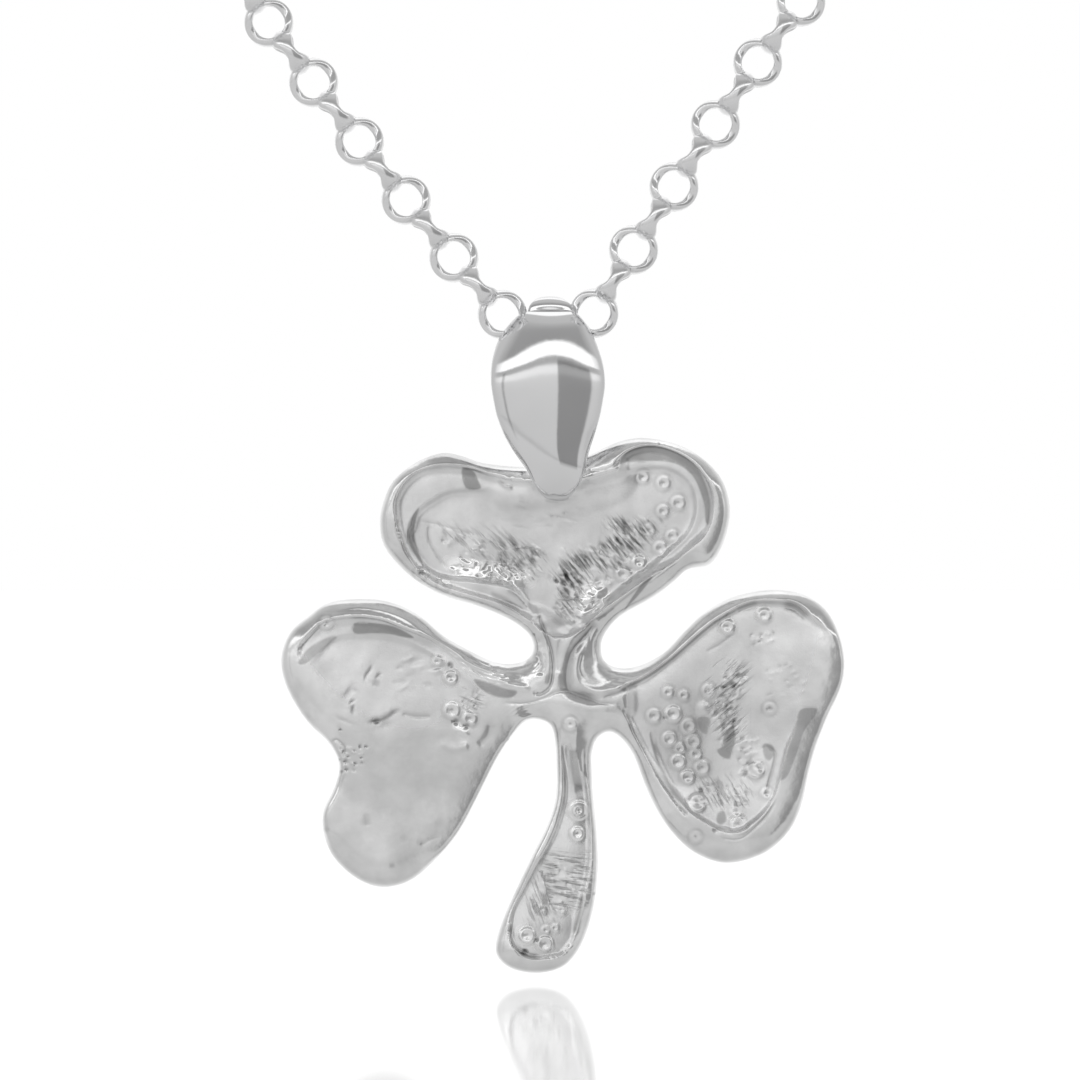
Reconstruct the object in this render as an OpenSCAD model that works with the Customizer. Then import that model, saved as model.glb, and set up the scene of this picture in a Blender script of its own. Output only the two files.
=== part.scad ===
// Shamrock pendant on a round-link chain, in millimetres.
// +Z is up, the front of the pendant faces -Y, and the origin is at the nape, where the loop rests on the neck.

/* [Chain] */
// Distance between the centres of neighbouring links
link_pitch = 2.2; // [2.18:0.01:2.22]
// Outside diameter of a link
link_d = 2.9; // [2.88:0.01:2.94]
// Thickness of a link's half-round band, which is twice as wide
band_t = 0.28; // [0.22:0.01:0.29]
// Links on the right side, counted up from the lowest one
right_links = 100; // [96:2:104]
// Links on the left side, counted up from the lowest one
left_links = 102; // [96:2:104]

/* [Drape] */
// Angle of the right leg's first two links from vertical
right_first = 37; // [36:0.5:39]
// Angle of the left leg's first two links from vertical
left_first = 38.5; // [37:0.5:40]
// Angle of the right leg from vertical, just above those two links
right_lean = 31.5; // [30:0.5:34]
// Angle of the left leg from vertical, just above those two links
left_lean = 41; // [38:0.5:42]
// Angle of both legs from vertical, past their lowest stretch
leg_lean = 36; // [35:0.5:37]
// Length of the lowest stretch of each leg, where its angle changes
lower_leg = 28; // [20:1:32]
// Height above the lowest link at which the loop starts to lean back over the shoulders
bend_start = 38; // [30:1:45]
// Radius of the bend over the shoulders
bend_r = 35; // [25:1:45]
// Angle by which the back of the loop leans from vertical
bend_angle = 68; // [60:1:75]

/* [Clasp] */
// Mean radius of the bolt ring
bolt_r = 2.4; // [2.2:0.1:2.8]
// Wire radius of the bolt ring
bolt_wire = 0.6; // [0.5:0.05:0.7]
// Mean radius of the clasp's eye
eye_r = 1.1; // [1.05:0.05:1.2]
// Mean radius of the jump ring that joins the eye to the chain
clasp_ring_r = 1.3; // [1.25:0.05:1.4]
// Wire radius of the eye and of that jump ring
eye_wire = 0.25; // [0.2:0.01:0.27]
// Mean radius of the end ring that the clasp catches
end_ring_r = 1.7; // [1.6:0.05:1.9]
// Wire radius of the end ring
end_ring_wire = 0.3; // [0.25:0.01:0.35]
// Play between rings that hang in one another
ring_play = 0.15; // [0.12:0.01:0.2]

/* [Shamrock] */
// Depth of the cast body behind the middle of the chain
body_back = 0.9; // [0.8:0.05:1]
// Full thickness at the rolled rims
rim_t = 2.1; // [1.9:0.05:2.3]
// Thickness at the floor of the basins
floor_t = 1.1; // [0.9:0.05:1.3]
// Thickness of the stem at its rim
stem_t = 1.8; // [1.6:0.05:2]
// Thickness of the web that joins leaves and stem
web_t = 1.85; // [1.7:0.05:1.95]
// Radius of the raised strands on the hub
strand_r = 0.45; // [0.4:0.05:0.5]
// Height and half width of the raised ringlets' rims
ringlet_wire = 0.13; // [0.1:0.01:0.16]

/* [Hidden] */
silver = [0.82, 0.82, 0.83];
right = 1;
left = -1;
link_r = link_d / 2;
link_hole = link_r - band_t;
end_hole = end_ring_r - end_ring_wire;
clasp_ring_hole = clasp_ring_r - eye_wire;

// Steps along the chain's line, from the right end link over the clasp to the left end link
step_to_end_ring = link_hole + end_hole - ring_play;
step_to_bolt = end_hole + bolt_r - bolt_wire - ring_play;
step_to_eye = bolt_r + bolt_wire + eye_r - eye_wire;
step_to_clasp_ring = eye_r - eye_wire + clasp_ring_hole - ring_play;
step_to_link = clasp_ring_hole + link_hole - ring_play;
clasp_run = step_to_end_ring + step_to_bolt + step_to_eye + step_to_clasp_ring + step_to_link;
loop_length = link_pitch * (right_links + left_links) + clasp_run;

// The loop is drawn flat first, then its sheet is bent back over the shoulders.
// Each side starts at the lowest link: two straight links, a stretch that turns slightly, a straight upper leg,
// an arc round the neck.
function rad(a) = a * PI / 180;
first_run = 2 * link_pitch;
turn_run = lower_leg - first_run;
function on_lower(first, lean, s) =
    s <= first_run ? [s * sin(first), s * cos(first), first]
    : let (a = lean + (leg_lean - lean) * (s - first_run) / turn_run, r = turn_run / rad(leg_lean - lean))
    [first_run * sin(first) + r * (cos(lean) - cos(a)), first_run * cos(first) + r * (sin(a) - sin(lean)), a];

right_knee = on_lower(right_first, right_lean, lower_leg);
left_knee = on_lower(left_first, left_lean, lower_leg);
neck_turn = rad(leg_lean + 90);
knee_span = right_knee.x + left_knee.x;
uppers = (loop_length - 2 * lower_leg - knee_span * neck_turn / cos(leg_lean))
    / (1 + neck_turn * tan(leg_lean));
neck_r = (knee_span + uppers * sin(leg_lean)) / (2 * cos(leg_lean));
neck_start = (uppers * cos(leg_lean) + right_knee.y + left_knee.y) / 2;

function upper_leg(knee) = (neck_start - knee.y) / cos(leg_lean);
function on_upper(knee, s) = [knee.x + s * sin(leg_lean), knee.y + s * cos(leg_lean), leg_lean];
function on_neck(knee, s) =
    let (a = leg_lean - s / neck_r * 180 / PI, p = on_upper(knee, upper_leg(knee)))
    [p.x + neck_r * (cos(a) - cos(leg_lean)), p.y + neck_r * (sin(leg_lean) - sin(a)), a];

// Place on the flat sheet and angle from vertical, at length s up one side
function on_side(side, s) =
    let (first = side == right ? right_first : left_first, lean = side == right ? right_lean : left_lean)
    let (knee = side == right ? right_knee : left_knee)
    s < lower_leg ? on_lower(first, lean, s)
    : s < lower_leg + upper_leg(knee) ? on_upper(knee, s - lower_leg)
    : on_neck(knee, s - lower_leg - upper_leg(knee));

// Depth, height and backward tilt of the bent sheet, at height v on the flat one
bend_end = bend_start + bend_r * rad(bend_angle);
function sheet(v) =
    v < bend_start ? [0, v, 0]
    : v < bend_end ? let (a = (v - bend_start) / bend_r * 180 / PI)
        [bend_r * (1 - cos(a)), bend_start + bend_r * sin(a), a]
    : [bend_r * (1 - cos(bend_angle)) + (v - bend_end) * sin(bend_angle),
       bend_start + bend_r * sin(bend_angle) + (v - bend_end) * cos(bend_angle), bend_angle];

right_total = lower_leg + upper_leg(right_knee) + neck_r * neck_turn;
nape_flat = on_side(right, right_total);
nape_sheet = sheet(nape_flat.y);
nape = [nape_flat.x, nape_sheet[0], nape_sheet[1]];

// Puts children at length s up one side, with +Z along the chain and +Y on the outside of the loop's sheet
module on_chain(side, s) {
    flat = on_side(side, s);
    bent = sheet(flat.y);
    translate([side * flat.x, bent[0], bent[1]])
        rotate([-bent[2], 0, 0])
            rotate([0, side * flat[2], 0])
                children();
}

// One link: a ring of half-round band, flat on its inside
module link(edge_on) {
    rotate(edge_on ? [0, 90, 0] : [90, 0, 0])
        rotate_extrude($fn = 48)
            difference() {
                translate([link_hole, 0])
                    circle(r = band_t, $fn = 24);
                translate([link_hole - link_r, -link_r])
                    square([link_r, 2 * link_r]);
            }
}

module wire_ring(r, wire) {
    rotate_extrude($fn = 48)
        translate([r, 0])
            circle(r = wire, $fn = 24);
}

module chain() {
    color(silver)
        translate(-nape) {
            link(false);
            for (i = [1 : right_links]) on_chain(right, i * link_pitch) link(i % 2 == 1);
            for (i = [1 : left_links]) on_chain(left, i * link_pitch) link(i % 2 == 1);
        }
}

end_ring_at = right_links * link_pitch + step_to_end_ring;
bolt_at = end_ring_at + step_to_bolt;
clasp_middle = bolt_at + step_to_eye / 2;
clasp_ring_at = bolt_at + step_to_eye + step_to_clasp_ring;

module end_ring() {
    color(silver)
        translate(-nape)
            on_chain(right, end_ring_at)
                rotate([0, 90, 0]) wire_ring(end_ring_r, end_ring_wire);
}

nub_r = 0.35;
nub_length = 1.1;
module clasp() {
    color(silver)
        translate(-nape)
            on_chain(right, clasp_middle) {
                translate([0, 0, -step_to_eye / 2])
                    rotate([90, 0, 0]) wire_ring(bolt_r, bolt_wire);
                translate([0, 0, step_to_eye / 2 - eye_wire / 2])
                    rotate([90, 0, 0]) wire_ring(eye_r, eye_wire);
                translate([bolt_r + bolt_wire / 2, 0, -step_to_eye / 2])
                    rotate([0, 90, 0]) cylinder(r = nub_r, h = nub_length, $fn = 24);
            }
}

module clasp_ring() {
    color(silver)
        translate(-nape)
            on_chain(right, clasp_ring_at)
                rotate([0, 90, 0]) wire_ring(clasp_ring_r, eye_wire);
}

// Smooth closed curve through a table's rows, each a list of numbers
function blend_row(a, b, c, d, t) =
    (2 * b + (c - a) * t + (2 * a - 5 * b + 4 * c - d) * t * t + (3 * b - a - 3 * c + d) * t * t * t) / 2;
function closed_curve(rows, steps) =
    let (n = len(rows))
    [for (i = [0 : n - 1], k = [0 : steps - 1])
        blend_row(rows[(i + n - 1) % n], rows[i], rows[(i + 1) % n], rows[(i + 2) % n], k / steps)];

// Faces of a stack of rings with the same number of points: the sides alone
function ring_faces(rings, n) =
    [for (k = [0 : rings - 2], j = [0 : n - 1])
        [k * n + j, k * n + (j + 1) % n, (k + 1) * n + (j + 1) % n, (k + 1) * n + j]];

// Leaf outlines clockwise from the left, measured from the hub: x, z
top_leaf_outline = [
    [-10.8, 9.6], [-10.1, 12.3], [-7.4, 13.9], [-4.8, 13.4], [-1.4, 13.1], [1.8, 13.9],
    [4.9, 14.8], [7.3, 14.2], [9.1, 12.6], [9.7, 10.6], [8.9, 7.7], [7.2, 7.0],
    [5.2, 5.5], [3.1, 4.2], [2.1, 2.4], [0.2, 0.9], [-1.8, 2.5], [-3.2, 4.1], [-7.0, 5.5], [-9.8, 7.4]];
left_leaf_outline = [
    [-15.0, 4.4], [-12.0, 5.4], [-9.9, 5.1], [-7.1, 3.1], [-4.2, 1.6], [-2.6, 1.6],
    [-1.0, -0.2], [-2.4, -2.0], [-4.1, -4.1], [-6.3, -8.4], [-8.6, -11.0], [-11.0, -11.6],
    [-13.3, -10.1], [-14.2, -7.0], [-13.3, -4.4], [-13.9, -3.1], [-16.2, 0.1], [-16.7, 1.8]];
right_leaf_outline = [
    [1.0, 0.2], [2.9, 1.4], [5.0, 1.8], [7.4, 3.0], [9.6, 5.3], [12.3, 5.9],
    [14.6, 5.3], [16.1, 3.3], [16.3, 0.7], [14.8, -3.2], [14.0, -6.4], [12.9, -8.9],
    [10.1, -10.1], [7.2, -9.3], [4.9, -6.0], [4.0, -3.8], [2.6, -2.4], [1.2, -1.6]];

// Middle of each basin, bearing of the smooth rimless side if there is one, and how strongly it is smooth
top_leaf_middle = [-0.6, 8.8];
left_leaf_middle = [-10.5, 0.6];
right_leaf_middle = [10.0, -2.1];
left_smooth_bearing = 255;

// From the back face over the rim to the basin: inset towards the middle, height of a rimmed edge,
// height of a smooth one
function edge_profile() = [
    [0.45, 0, 0], [0.08, 0.35, 0.3], [0, 0.95, 0.75], [0.12, 1.55, 1.1],
    [0.45, rim_t - 0.1, 1.35], [0.85, rim_t, 1.5], [1.2, rim_t - 0.18, 1.58],
    [1.5, floor_t + 0.4, 1.65], [2.2, floor_t + 0.3, 1.75], [2.8, floor_t, 1.8]];
// Inner rings of the basin: share of the way out from the middle, then the same two heights
function basin_profile() =
    [[0.72, floor_t - 0.08, 1.8], [0.42, floor_t - 0.12, 1.66], [0.16, floor_t - 0.1, 1.15]];

function toward(p, middle, inset) = p + (middle - p) * inset / norm(middle - p);
function smoothness(p, middle, bearing) =
    let (way = p - middle)
    bearing == undef ? 0 : min(max(cos(atan2(way.y, way.x) - bearing) * 1.6 + 0.4, 0), 1);
// The cast surface is slightly uneven, and its back is flat
cast_ripple = 0.01;
function ripple(p) = cast_ripple * sin(700 * p.x + 500 * p.y);
function relief_point(p, flat, row, middle, bearing) =
    let (w = smoothness(flat, middle, bearing), height = row[1] * (1 - w) + row[2] * w)
    [p.x, body_back - (height > 0 ? height + ripple(p) : 0), p.y];

module leaf(outline, middle, bearing) {
    flat = closed_curve(outline, 4);
    n = len(flat);
    edge = edge_profile();
    basin = basin_profile();
    rings = len(edge) + len(basin);
    brink = [for (p = flat) toward(p, middle, edge[len(edge) - 1][0])];
    points = concat(
        [for (row = edge, p = flat) relief_point(toward(p, middle, row[0]), p, row, middle, bearing)],
        [for (row = basin, j = [0 : n - 1])
            relief_point(middle + (brink[j] - middle) * row[0], flat[j], row, middle, bearing)],
        [[middle.x, body_back - floor_t + 0.1, middle.y]]);
    back = [[for (j = [0 : n - 1]) n - 1 - j]];
    front = [for (j = [0 : n - 1]) [(rings - 1) * n + j, (rings - 1) * n + (j + 1) % n, rings * n]];
    polyhedron(points, concat(back, ring_faces(rings, n), front));
}

// Stem sections from the hub down, all from the hub: height, left edge, right edge, how deep the slot is
stem_sections = [
    [-0.6, -0.7, 1.6, 0], [-2.8, -0.6, 1.7, 0.5], [-4.4, -0.5, 1.55, 1], [-6.4, -0.6, 1.65, 1],
    [-8.2, -1.2, 1.85, 0.7], [-9.6, -1.9, 1.9, 0.8], [-11.2, -2.65, 1.9, 0.9], [-12.6, -3.3, 1.7, 1],
    [-14.1, -3.8, 1.3, 1], [-15.0, -4.0, 0.85, 1], [-15.6, -3.95, 0.5, 0.7], [-16.1, -3.6, 0.15, 0.2],
    [-16.5, -2.9, -0.5, 0], [-16.65, -2.3, -1.2, 0]];
// Across the stem, from its back left round to its back right: share of the half width, of the thickness,
// of the slot
stem_profile = [
    [-0.8, 0, 0], [-1, 0.45, 0], [-0.92, 0.82, 0], [-0.7, 1, 0], [-0.48, 0.96, 0.1], [-0.3, 0.94, 0.24],
    [0.3, 0.94, 0.24], [0.48, 0.96, 0.1], [0.7, 1, 0], [0.92, 0.82, 0], [1, 0.45, 0], [0.8, 0, 0]];
module stem() {
    n = len(stem_profile);
    last = len(stem_sections) - 1;
    points = [for (row = stem_sections, p = stem_profile)
        let (mid = (row[1] + row[2]) / 2, half = (row[2] - row[1]) / 2)
        [mid + half * p[0], body_back - 0.1 - stem_t * (p[1] - p[2] * row[3]), row[0]]];
    caps = [[for (j = [0 : n - 1]) n - 1 - j], [for (j = [0 : n - 1]) last * n + j]];
    polyhedron(points, concat(caps, ring_faces(last + 1, n)));
}

// Domed web between the hub and each neck: x, z, radius
hub_pad = [0.1, -0.1, 2.0];
neck_pads = [[0.13, 3.37, 1.7], [-4.15, -0.37, 1.28], [4.37, -0.47, 1.52], [0.47, -3.37, 1.02]];
// Section of a dome: share of its radius, share of the web's thickness
dome_section = [[0, 0], [0.95, 0], [1, 0.25], [0.97, 0.55], [0.85, 0.78], [0.62, 0.92], [0.32, 0.98], [0, 1]];
module pad(row) {
    translate([row[0], body_back, row[1]])
        rotate([90, 0, 0])
            rotate_extrude($fn = 24)
                polygon([for (p = dome_section) [p.x * row[2], p.y * web_t]]);
}

// Raised strands that cross the hub: x, z and share of the strands' radius at each bend
strands = [
    [[-2.1, 3.9, 0.6], [-1.6, 2.9, 1], [-1.5, 1.4, 1.1], [-1.3, 0.2, 0.8]],
    [[2.3, 4.0, 0.6], [1.5, 2.9, 0.9], [0.8, 1.6, 0.9], [0.6, 0.6, 0.9], [1.5, -0.4, 0.8]],
    [[-4.8, -0.6, 0.5], [-2.6, -0.5, 0.9], [-0.3, -0.1, 1.1], [1.5, -0.4, 1], [4.2, -1.0, 0.5]],
    [[-0.3, -0.3, 0.9], [-0.2, -1.6, 0.8], [-0.1, -3.2, 0.6]],
    [[1.2, -0.5, 0.9], [1.2, -1.8, 0.8], [1.15, -3.2, 0.6]]];
module hub() {
    for (row = neck_pads) hull() {
        pad(hub_pad);
        pad(row);
    }
    for (run = strands, k = [0 : len(run) - 2]) hull()
        for (p = [run[k], run[k + 1]])
            translate([p[0], body_back - web_t + strand_r / 2, p[1]])
                sphere(r = strand_r * p[2], $fn = 16);
}

// Raised ringlets on the leaves and stem: x, z, mean radius, height above the back
ringlet_root = 0.7;
ringlets = [
    [4.5, 12.4, 0.3, 1.45], [5.8, 12.2, 0.3, 1.45], [6.6, 10.9, 0.3, 1.45], [5.8, 10.5, 0.3, 1.4],
    [4.8, 9.5, 0.3, 1.2], [5.7, 8.4, 0.3, 1.4], [4.4, 7.5, 0.3, 1.4],
    [-7.5, 1.6, 0.35, 1.45], [-6.8, 0.9, 0.35, 1.4], [-6.6, -0.9, 0.35, 1.3],
    [5.2, -1.5, 0.35, 1.4], [6.35, -1.25, 0.35, 1.4], [8.1, -1.1, 0.35, 1.18], [7.2, -2.1, 0.35, 1.2],
    [6.1, -2.9, 0.35, 1.4], [7.9, -3.7, 0.35, 1.18], [6.6, -4.2, 0.35, 1.3], [7.2, -5.2, 0.35, 1.3],
    [7.8, -6.5, 0.35, 1.3], [7.6, -8.1, 0.35, 1.5], [9.6, 3.8, 0.35, 1.5], [11.8, 4.4, 0.35, 1.6],
    [10.8, -7.0, 0.35, 1.4], [10.1, -7.9, 0.35, 1.5], [11.5, -4.8, 0.35, 1.2],
    [0.75, -6.9, 0.45, 1.3], [0.75, -8.3, 0.3, 1.35], [-2.35, -14.4, 0.42, 1.3], [-1.2, -14.8, 0.42, 1.3]];
module ringlet(row) {
    outer = row[2] + ringlet_wire;
    inner = row[2] - ringlet_wire;
    translate([row[0], body_back - row[3], row[1]])
        rotate([90, 0, 0])
            rotate_extrude($fn = 10)
                polygon([[0, -ringlet_root], [outer, -ringlet_root], [outer, 0], [row[2], ringlet_wire],
                    [inner, 0], [0, -ringlet_wire / 2]]);
}

// The bail is a band swept round the chain, from the tail on the leaf up the front, over the crest
// and down the back. Each row, measured from the lowest link: depth, height, half width, thickness,
// set-back of the edges, middle in x
bail_sections = [
    [-1.15, -7.0, 0.5, 0.6, 0.1, 0.6],
    [-1.55, -6.0, 1.35, 1.0, 0.35, 0.45],
    [-1.95, -4.7, 2.1, 1.1, 0.6, 0.25],
    [-2.3, -3.2, 2.7, 1.0, 0.85, 0.15],
    [-2.55, -1.4, 3.2, 0.9, 1.05, 0.05],
    [-2.55, 0.3, 3.32, 0.9, 1.05, 0],
    [-2.4, 1.7, 3.05, 0.9, 0.75, 0],
    [-2.15, 2.6, 2.45, 0.9, 0.4, 0],
    [-1.8, 3.1, 1.75, 0.8, 0.15, 0],
    [-1.2, 3.45, 1.15, 0.6, 0.05, 0],
    [-0.3, 3.9, 1.1, 1.1, 0.05, 0],
    [0.7, 3.7, 1.1, 1.0, 0.05, 0],
    [1.7, 2.9, 1.1, 0.9, 0.05, 0],
    [2.25, 1.6, 1.1, 0.8, 0.05, 0],
    [2.4, 0, 1.1, 0.8, 0.05, 0],
    [2.35, -1.6, 1.1, 0.8, 0.05, 0.05],
    [1.75, -3.3, 1.15, 0.85, 0.05, 0.1],
    [1.0, -4.7, 1.15, 0.95, 0.05, 0.2],
    [0.6, -5.8, 1.0, 0.8, 0.05, 0.35],
    [0.2, -6.8, 0.75, 0.6, 0.05, 0.5],
    [-0.5, -7.26, 0.6, 0.55, 0.05, 0.6]];
bail_around = 14;
module bail() {
    rows = closed_curve(bail_sections, 3);
    n = len(rows);
    points = [for (i = [0 : n - 1])
        let (row = rows[i], ahead = rows[(i + 1) % n], behind = rows[(i + n - 1) % n])
        let (run = [ahead[0] - behind[0], ahead[1] - behind[1]], out = [-run.y, run.x] / norm(run))
        for (j = [0 : bail_around - 1])
            let (a = 360 * j / bail_around, rise = row[3] / 2 * sin(a) - row[4] * cos(a) * cos(a))
            [row[5] + row[2] * cos(a), row[0] + out.x * rise, row[1] + out.y * rise]];
    sides = [for (i = [0 : n - 1], j = [0 : bail_around - 1])
        let (i2 = (i + 1) % n, j2 = (j + 1) % bail_around)
        [i * bail_around + j, i * bail_around + j2, i2 * bail_around + j2, i2 * bail_around + j]];
    polyhedron(points, sides);
}

// Solder that fills the pocket between the bail's tail and the leaf, from the lowest link: place and radii
solder_place = [0.47, -0.83, -6.43];
solder_radii = [1.1, 0.6, 0.65];

hub_place = [0.95, 0, -18.65];
module shamrock() {
    leaf(top_leaf_outline, top_leaf_middle, undef);
    leaf(left_leaf_outline, left_leaf_middle, left_smooth_bearing);
    leaf(right_leaf_outline, right_leaf_middle, undef);
    stem();
    hub();
    for (row = ringlets) ringlet(row);
}

module pendant() {
    color(silver)
        translate(-nape) {
            bail();
            translate(solder_place) scale(solder_radii) sphere(r = 1, $fn = 16);
            translate(hub_place) shamrock();
        }
}

pendant();
chain();
end_ring();
clasp();
clasp_ring();
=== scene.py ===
"""Looks of the shamrock necklace: cast pendant, bail, belcher chain, finishes, light and camera.

Sizes are in millimetres, measured from the middle of the chain's lowest link, unless a name says otherwise.
Places read off the photograph are in its pixels, on an image of 1080 by 1080, and go through Photograph.
"""

import logging
import math
from dataclasses import dataclass
from enum import Enum

import bpy
import numpy as np
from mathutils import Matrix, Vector

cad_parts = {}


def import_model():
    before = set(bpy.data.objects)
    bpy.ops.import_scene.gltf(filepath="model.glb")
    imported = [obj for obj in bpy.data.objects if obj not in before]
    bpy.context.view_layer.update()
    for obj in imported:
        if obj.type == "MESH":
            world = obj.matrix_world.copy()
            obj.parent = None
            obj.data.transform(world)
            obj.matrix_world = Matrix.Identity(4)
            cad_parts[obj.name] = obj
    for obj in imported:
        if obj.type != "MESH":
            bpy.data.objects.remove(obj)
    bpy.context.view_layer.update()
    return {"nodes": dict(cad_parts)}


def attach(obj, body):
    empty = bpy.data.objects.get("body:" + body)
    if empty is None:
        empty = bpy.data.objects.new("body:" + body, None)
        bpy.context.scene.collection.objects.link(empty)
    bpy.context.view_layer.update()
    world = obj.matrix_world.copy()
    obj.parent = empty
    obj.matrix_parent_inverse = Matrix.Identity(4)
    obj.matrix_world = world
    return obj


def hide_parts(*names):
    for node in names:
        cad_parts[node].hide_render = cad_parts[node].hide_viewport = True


log = logging.getLogger("necklace")

METRE = 0.001  # one millimetre in Blender's metres
WHITE = (1.0, 1.0, 1.0, 1.0)
Pixels = tuple[tuple[float, float], ...]
Rows = tuple[tuple[float, ...], ...]


class Section(Enum):
    """How a stroke's strength falls off across it."""

    SOFT = "soft"
    CRISP = "crisp"


@dataclass(frozen=True)
class Photograph:
    """Scale of the photograph, from the chain's face-on links."""

    pixels_per_mm: float = 17.0
    lowest_link: tuple[float, float] = (549.0, 373.0)
    side: float = 1080.0

    def flat(self, pixels: Pixels) -> np.ndarray:
        """Places on the pendant's plane.

        Args:
            pixels: Places in the photograph.

        Returns:
            One row of x and z for each, in mm from the lowest link.
        """
        places = np.array(pixels, float)
        return (places - self.lowest_link) / self.pixels_per_mm * (1, -1)

    def length(self, pixels: float) -> float:
        """A length in pixels, in mm."""
        return pixels / self.pixels_per_mm

    def gap(self, places: np.ndarray, pixel: tuple[float, float]) -> np.ndarray:
        """Distance of each place from one in the photograph, in mm."""
        return np.hypot(*(places - self.flat((pixel,))[0]).T)


PHOTO = Photograph()


def curve_through(points: np.ndarray, steps: int, closed: bool) -> np.ndarray:
    """Smooth curve through a table's rows.

    Args:
        points: The rows, each with any number of columns.
        steps: Rows of the result for each row of the table.
        closed: Whether the last row runs on into the first.

    Returns:
        The rows of the curve.
    """
    if closed:
        a, b, c, d = (np.roll(points, shift, axis=0) for shift in (1, 0, -1, -2))
    else:
        padded = np.concatenate([2 * points[:1] - points[1:2], points, 2 * points[-1:] - points[-2:-1]])
        a, b, c, d = padded[:-3], padded[1:-2], padded[2:-1], padded[3:]
    share = (np.arange(steps) / steps)[None, :, None]
    a, b, c, d = (row[:, None, :] for row in (a, b, c, d))
    bend, twist = 2 * a - 5 * b + 4 * c - d, 3 * b - a - 3 * c + d
    curve = (2 * b + (c - a) * share + bend * share**2 + twist * share**3) / 2
    curve = curve.reshape(-1, points.shape[1])
    return curve if closed else np.concatenate([curve, points[-1:]])


def distance_to_line(
    places: np.ndarray, line: np.ndarray, closed: bool = False
) -> tuple[np.ndarray, np.ndarray]:
    """Distance from places to a line of straight runs.

    Args:
        places: One row of x and z for each place.
        line: The line's points.
        closed: Whether the last point joins the first.

    Returns:
        The distances, and how far along the line the nearest point lies, from 0 to 1.
    """
    starts = line if closed else line[:-1]
    ends = np.roll(line, -1, axis=0) if closed else line[1:]
    nearest = np.full(len(places), np.inf)
    along = np.zeros(len(places))
    for k, (start, end) in enumerate(zip(starts, ends)):
        run = end - start
        share = np.clip((places - start) @ run / max(run @ run, 1e-12), 0, 1)
        offset = places - start - share[:, None] * run
        distance = np.einsum("ij,ij->i", offset, offset)
        closer = distance < nearest
        nearest[closer] = distance[closer]
        along[closer] = (k + share[closer]) / len(starts)
    return np.sqrt(nearest), along


def soft_distance(places: np.ndarray, line: np.ndarray, blend: float, count: int = 48) -> np.ndarray:
    """Distance to a line that stays smooth where two of its parts are equally near.

    Args:
        places: One row of x and z for each place.
        line: One row for each corner of the line.
        blend: How far the parts blend, in mm.
        count: How many spots along the line stand for it.

    Returns:
        The distances, in the places' unit.
    """
    steps = np.linalg.norm(np.diff(line, axis=0), axis=1)
    run = np.concatenate([[0], np.cumsum(steps)])
    spots = np.linspace(0, run[-1], count)
    dots = np.stack([np.interp(spots, run, line[:, k]) for k in range(2)], axis=1)
    gaps = np.linalg.norm(places[:, None] - dots, axis=2)
    nearest = gaps.min(axis=1)
    crowd = np.exp(-(gaps - nearest[:, None]) / blend).mean(axis=1)
    even = min(2 * blend / run[-1], 1)
    return np.maximum(nearest - blend * np.log(crowd / even), 0)


def inside_outline(places: np.ndarray, outline: np.ndarray) -> np.ndarray:
    """Which places lie inside a closed outline.

    Args:
        places: One row of x and z for each place.
        outline: The outline's corners.

    Returns:
        Whether each place lies inside.
    """
    inside = np.zeros(len(places), bool)
    for (x0, z0), (x1, z1) in zip(outline, np.roll(outline, -1, axis=0)):
        crosses = (z0 > places[:, 1]) != (z1 > places[:, 1])
        if z0 != z1:
            inside ^= crosses & (places[:, 0] < x0 + (places[:, 1] - z0) * (x1 - x0) / (z1 - z0))
    return inside


def close_by(places: np.ndarray, line: np.ndarray, reach: float) -> np.ndarray:
    """Indices of the places in a line's box, widened by a reach on every side."""
    low, high = line.min(axis=0) - reach, line.max(axis=0) + reach
    return np.nonzero(((places > low) & (places < high)).all(axis=1))[0]


def ease(values: np.ndarray) -> np.ndarray:
    """Values from 0 to 1, with a soft start and end, and held at 0 and 1 outside."""
    clipped = np.clip(values, 0, 1)
    return clipped * clipped * (3 - 2 * clipped)


def read_places(mesh: bpy.types.Mesh) -> np.ndarray:
    """Reads where a mesh's vertices are.

    Args:
        mesh: The mesh.

    Returns:
        One row of x, y and z for each vertex.
    """
    places = np.empty(len(mesh.vertices) * 3, np.float32)
    mesh.vertices.foreach_get("co", places)
    return places.reshape(-1, 3).astype(float)


def write_places(mesh: bpy.types.Mesh, places: np.ndarray) -> None:
    """Moves a mesh's vertices to new places."""
    mesh.vertices.foreach_set("co", places.astype(np.float32).ravel())
    mesh.update()


def write_attribute(mesh: bpy.types.Mesh, name: str, values: np.ndarray) -> None:
    """Stores one number for each vertex, for a material to read."""
    attribute = mesh.attributes.get(name) or mesh.attributes.new(name, "FLOAT", "POINT")
    attribute.data.foreach_set("value", values.astype(np.float32))


def select_only(piece: bpy.types.Object) -> None:
    """Selects one object and makes it active.

    Args:
        piece: The object.
    """
    bpy.ops.object.select_all(action="DESELECT")
    piece.select_set(True)
    bpy.context.view_layer.objects.active = piece


def edit(piece: bpy.types.Object, faces: np.ndarray | None = None) -> None:
    """Opens a piece in edit mode.

    Args:
        piece: The piece to edit.
        faces: Whether each face is selected; all are where this is left out.
    """
    select_only(piece)
    mesh = piece.data
    chosen = np.ones(len(mesh.polygons), bool) if faces is None else faces
    mesh.vertices.foreach_set("select", np.zeros(len(mesh.vertices), bool))
    mesh.edges.foreach_set("select", np.zeros(len(mesh.edges), bool))
    mesh.polygons.foreach_set("select", chosen)
    bpy.ops.object.mode_set(mode="EDIT")
    bpy.ops.mesh.select_mode(type="FACE")


def close_edit() -> None:
    """Leaves edit mode."""
    bpy.ops.object.mode_set(mode="OBJECT")


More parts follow.
